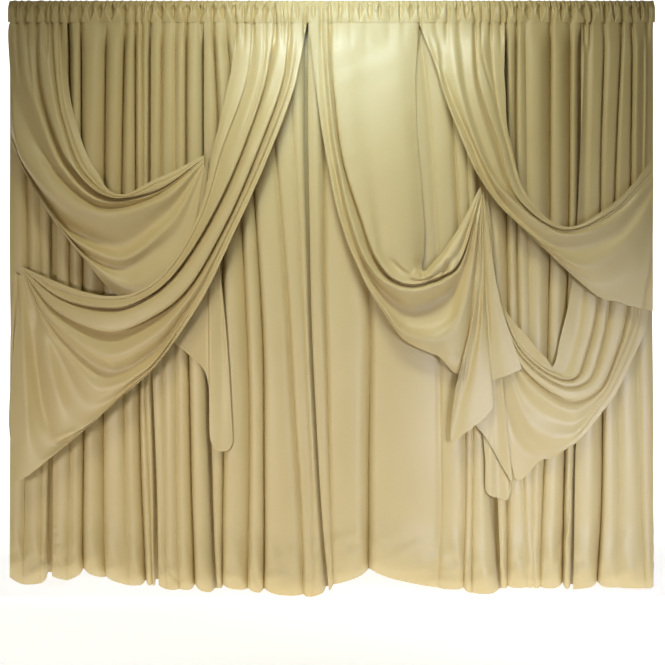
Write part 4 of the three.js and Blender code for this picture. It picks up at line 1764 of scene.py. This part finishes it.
SWAGS = (SWAG_1, SWAG_2, SWAG_3, SWAG_4, SWAG_5)


@dataclass(frozen=True)
class AreaLamp:
    """A soft lamp.

    Attributes:
        name: The lamp's name.
        place: Where it stands, in metres.
        aim: What it points at, in metres.
        size: Its width and height, in metres.
        power: Its power, in watts.
        colour: Its colour, linear.
        spread: Angle that its light keeps to, in degrees.
    """

    name: str
    place: Triple
    aim: Triple
    size: Pair
    power: float
    colour: Triple
    spread: float

    def build(self) -> None:
        """Hangs the lamp."""
        data = bpy.data.lights.new(self.name, "AREA")
        data.shape = "RECTANGLE"
        data.size, data.size_y = self.size
        data.energy, data.color = self.power, self.colour
        data.spread = math.radians(self.spread)
        lamp = bpy.data.objects.new(self.name, data)
        lamp.location = self.place
        lamp.rotation_mode = "QUATERNION"
        lamp.rotation_quaternion = (Vector(self.aim) - Vector(self.place)).to_track_quat("-Z", "Y")
        bpy.context.scene.collection.objects.link(lamp)


@dataclass(frozen=True)
class Studio:
    """The pale floor, the backdrop, the lamps and the camera.

    Attributes:
        floor_level: Height of the floor, in metres.
        backdrop_at: How far behind the rod the backdrop stands, in metres.
        reach: Half the floor's width, and how far it runs forward, in metres.
        cove: Radius of the curve from the floor up to the backdrop, in metres.
        height: Height of the backdrop above the curve, in metres.
        turns: Shares of the run from front to top where the curve starts and ends.
        strips: Strips along that run.
        paint: Paint of the floor and the backdrop, with their painted glow.
        lamps: The lamps.
        air: Colour of the light from all round, linear.
        ambient: Strength of that light.
        sensor: Width of the camera's sensor, in millimetres.
    """

    floor_level: float = -2.971
    backdrop_at: float = 10.0
    reach: float = 60.0
    cove: float = 1.2
    height: float = 8.0
    turns: Pair = (0.6, 0.9)
    strips: int = 24
    paint: StudioPaintAndGlow = StudioPaintAndGlow()
    lamps: tuple[AreaLamp, ...] = (
        AreaLamp("top_light", (0.05, -1.5, 0.9), (0.1, 0.0, -1.0), (1.1, 0.4), 16.2, (0.94, 0.98, 0.83), 105),
        AreaLamp("centre_light", (0.05, -1.5, 0.9), (0.1, 0.0, -0.3), (0.5, 0.3), 1.4, (0.42, 0.9, 1.7), 52),
        AreaLamp("left_light", (-2.4, -5.0, 3.0), (0.5, 0.0, -1.3), (0.6, 0.6), 44, (0.98, 0.89, 0.63), 180),
        AreaLamp("front_fill", (-2.2, -4.0, -1.9), (-0.8, 0.0, -2.1), (1.0, 0.6), 6.4, (1.0, 0.95, 0.98), 56),
        AreaLamp("right_fill", (2.0, -3.6, -1.9), (1.1, 0.0, -2.4), (0.9, 0.8), 7.4, (0.9, 0.97, 1.24), 54),
    )
    air: Triple = (1.0, 0.82, 0.6)
    ambient: float = 0.008
    sensor: float = 36.0

    def build(self) -> None:
        """Sets up the room, the lamps and the camera."""
        scene = bpy.context.scene
        scene.view_settings.view_transform = "Standard"
        self._floor()
        for lamp in self.lamps:
            lamp.build()
        scene.world = bpy.data.worlds.new("studio_air")
        scene.world.use_nodes = True
        light = scene.world.node_tree.nodes["Background"].inputs
        light["Color"].default_value = (*self.air, 1.0)
        light["Strength"].default_value = self.ambient
        self._camera()

    def _floor(self) -> None:
        """Lays the floor, which curves up into the backdrop."""
        mesh = bmesh.new()
        bmesh.ops.create_grid(mesh, x_segments=1, y_segments=self.strips, size=1.0)
        start, end = self.turns
        foot = self.backdrop_at - self.cove
        for vertex in mesh.verts:
            run = (vertex.co.y + 1) / 2
            angle = min(max((run - start) / (end - start), 0.0), 1.0) * math.pi / 2
            vertex.co.x *= self.reach
            vertex.co.y = foot + self.cove * math.sin(angle) + (foot + self.reach) * min(run / start - 1, 0.0)
            vertex.co.z = self.floor_level + self.cove * (1 - math.cos(angle))
            vertex.co.z += self.height * max((run - end) / (1 - end), 0.0)
        settled_object("studio_floor", mesh, self.paint.material())

    def _camera(self) -> None:
        """Sets the camera at the elevation's eye, square on to the drape."""
        data = bpy.data.cameras.new("front_camera")
        data.sensor_width = self.sensor
        data.lens = self.sensor * ELEVATION.sight / (ELEVATION.columns * ELEVATION.step)
        camera = bpy.data.objects.new("front_camera", data)
        aside = (ELEVATION.columns / 2 - ELEVATION.middle) * ELEVATION.step
        camera.location = (aside * MM, -ELEVATION.sight * MM, ELEVATION.eye_level * MM)
        camera.rotation_euler = (math.pi / 2, 0, 0)
        bpy.context.scene.collection.objects.link(camera)
        bpy.context.scene.camera = camera


def main() -> None:
    """Builds the studio and each piece of the drape."""
    logging.basicConfig(level=logging.INFO, format="%(name)s: %(message)s")
    Studio().build()
    cloth = SatinCloth().material()
    pieces = [part.build(cloth) for part in (Heading(), *BACK_PANELS, *SWAGS)]
    LOG.info("%d pieces of cloth", len(pieces))


if __name__ == "__main__":
    main()
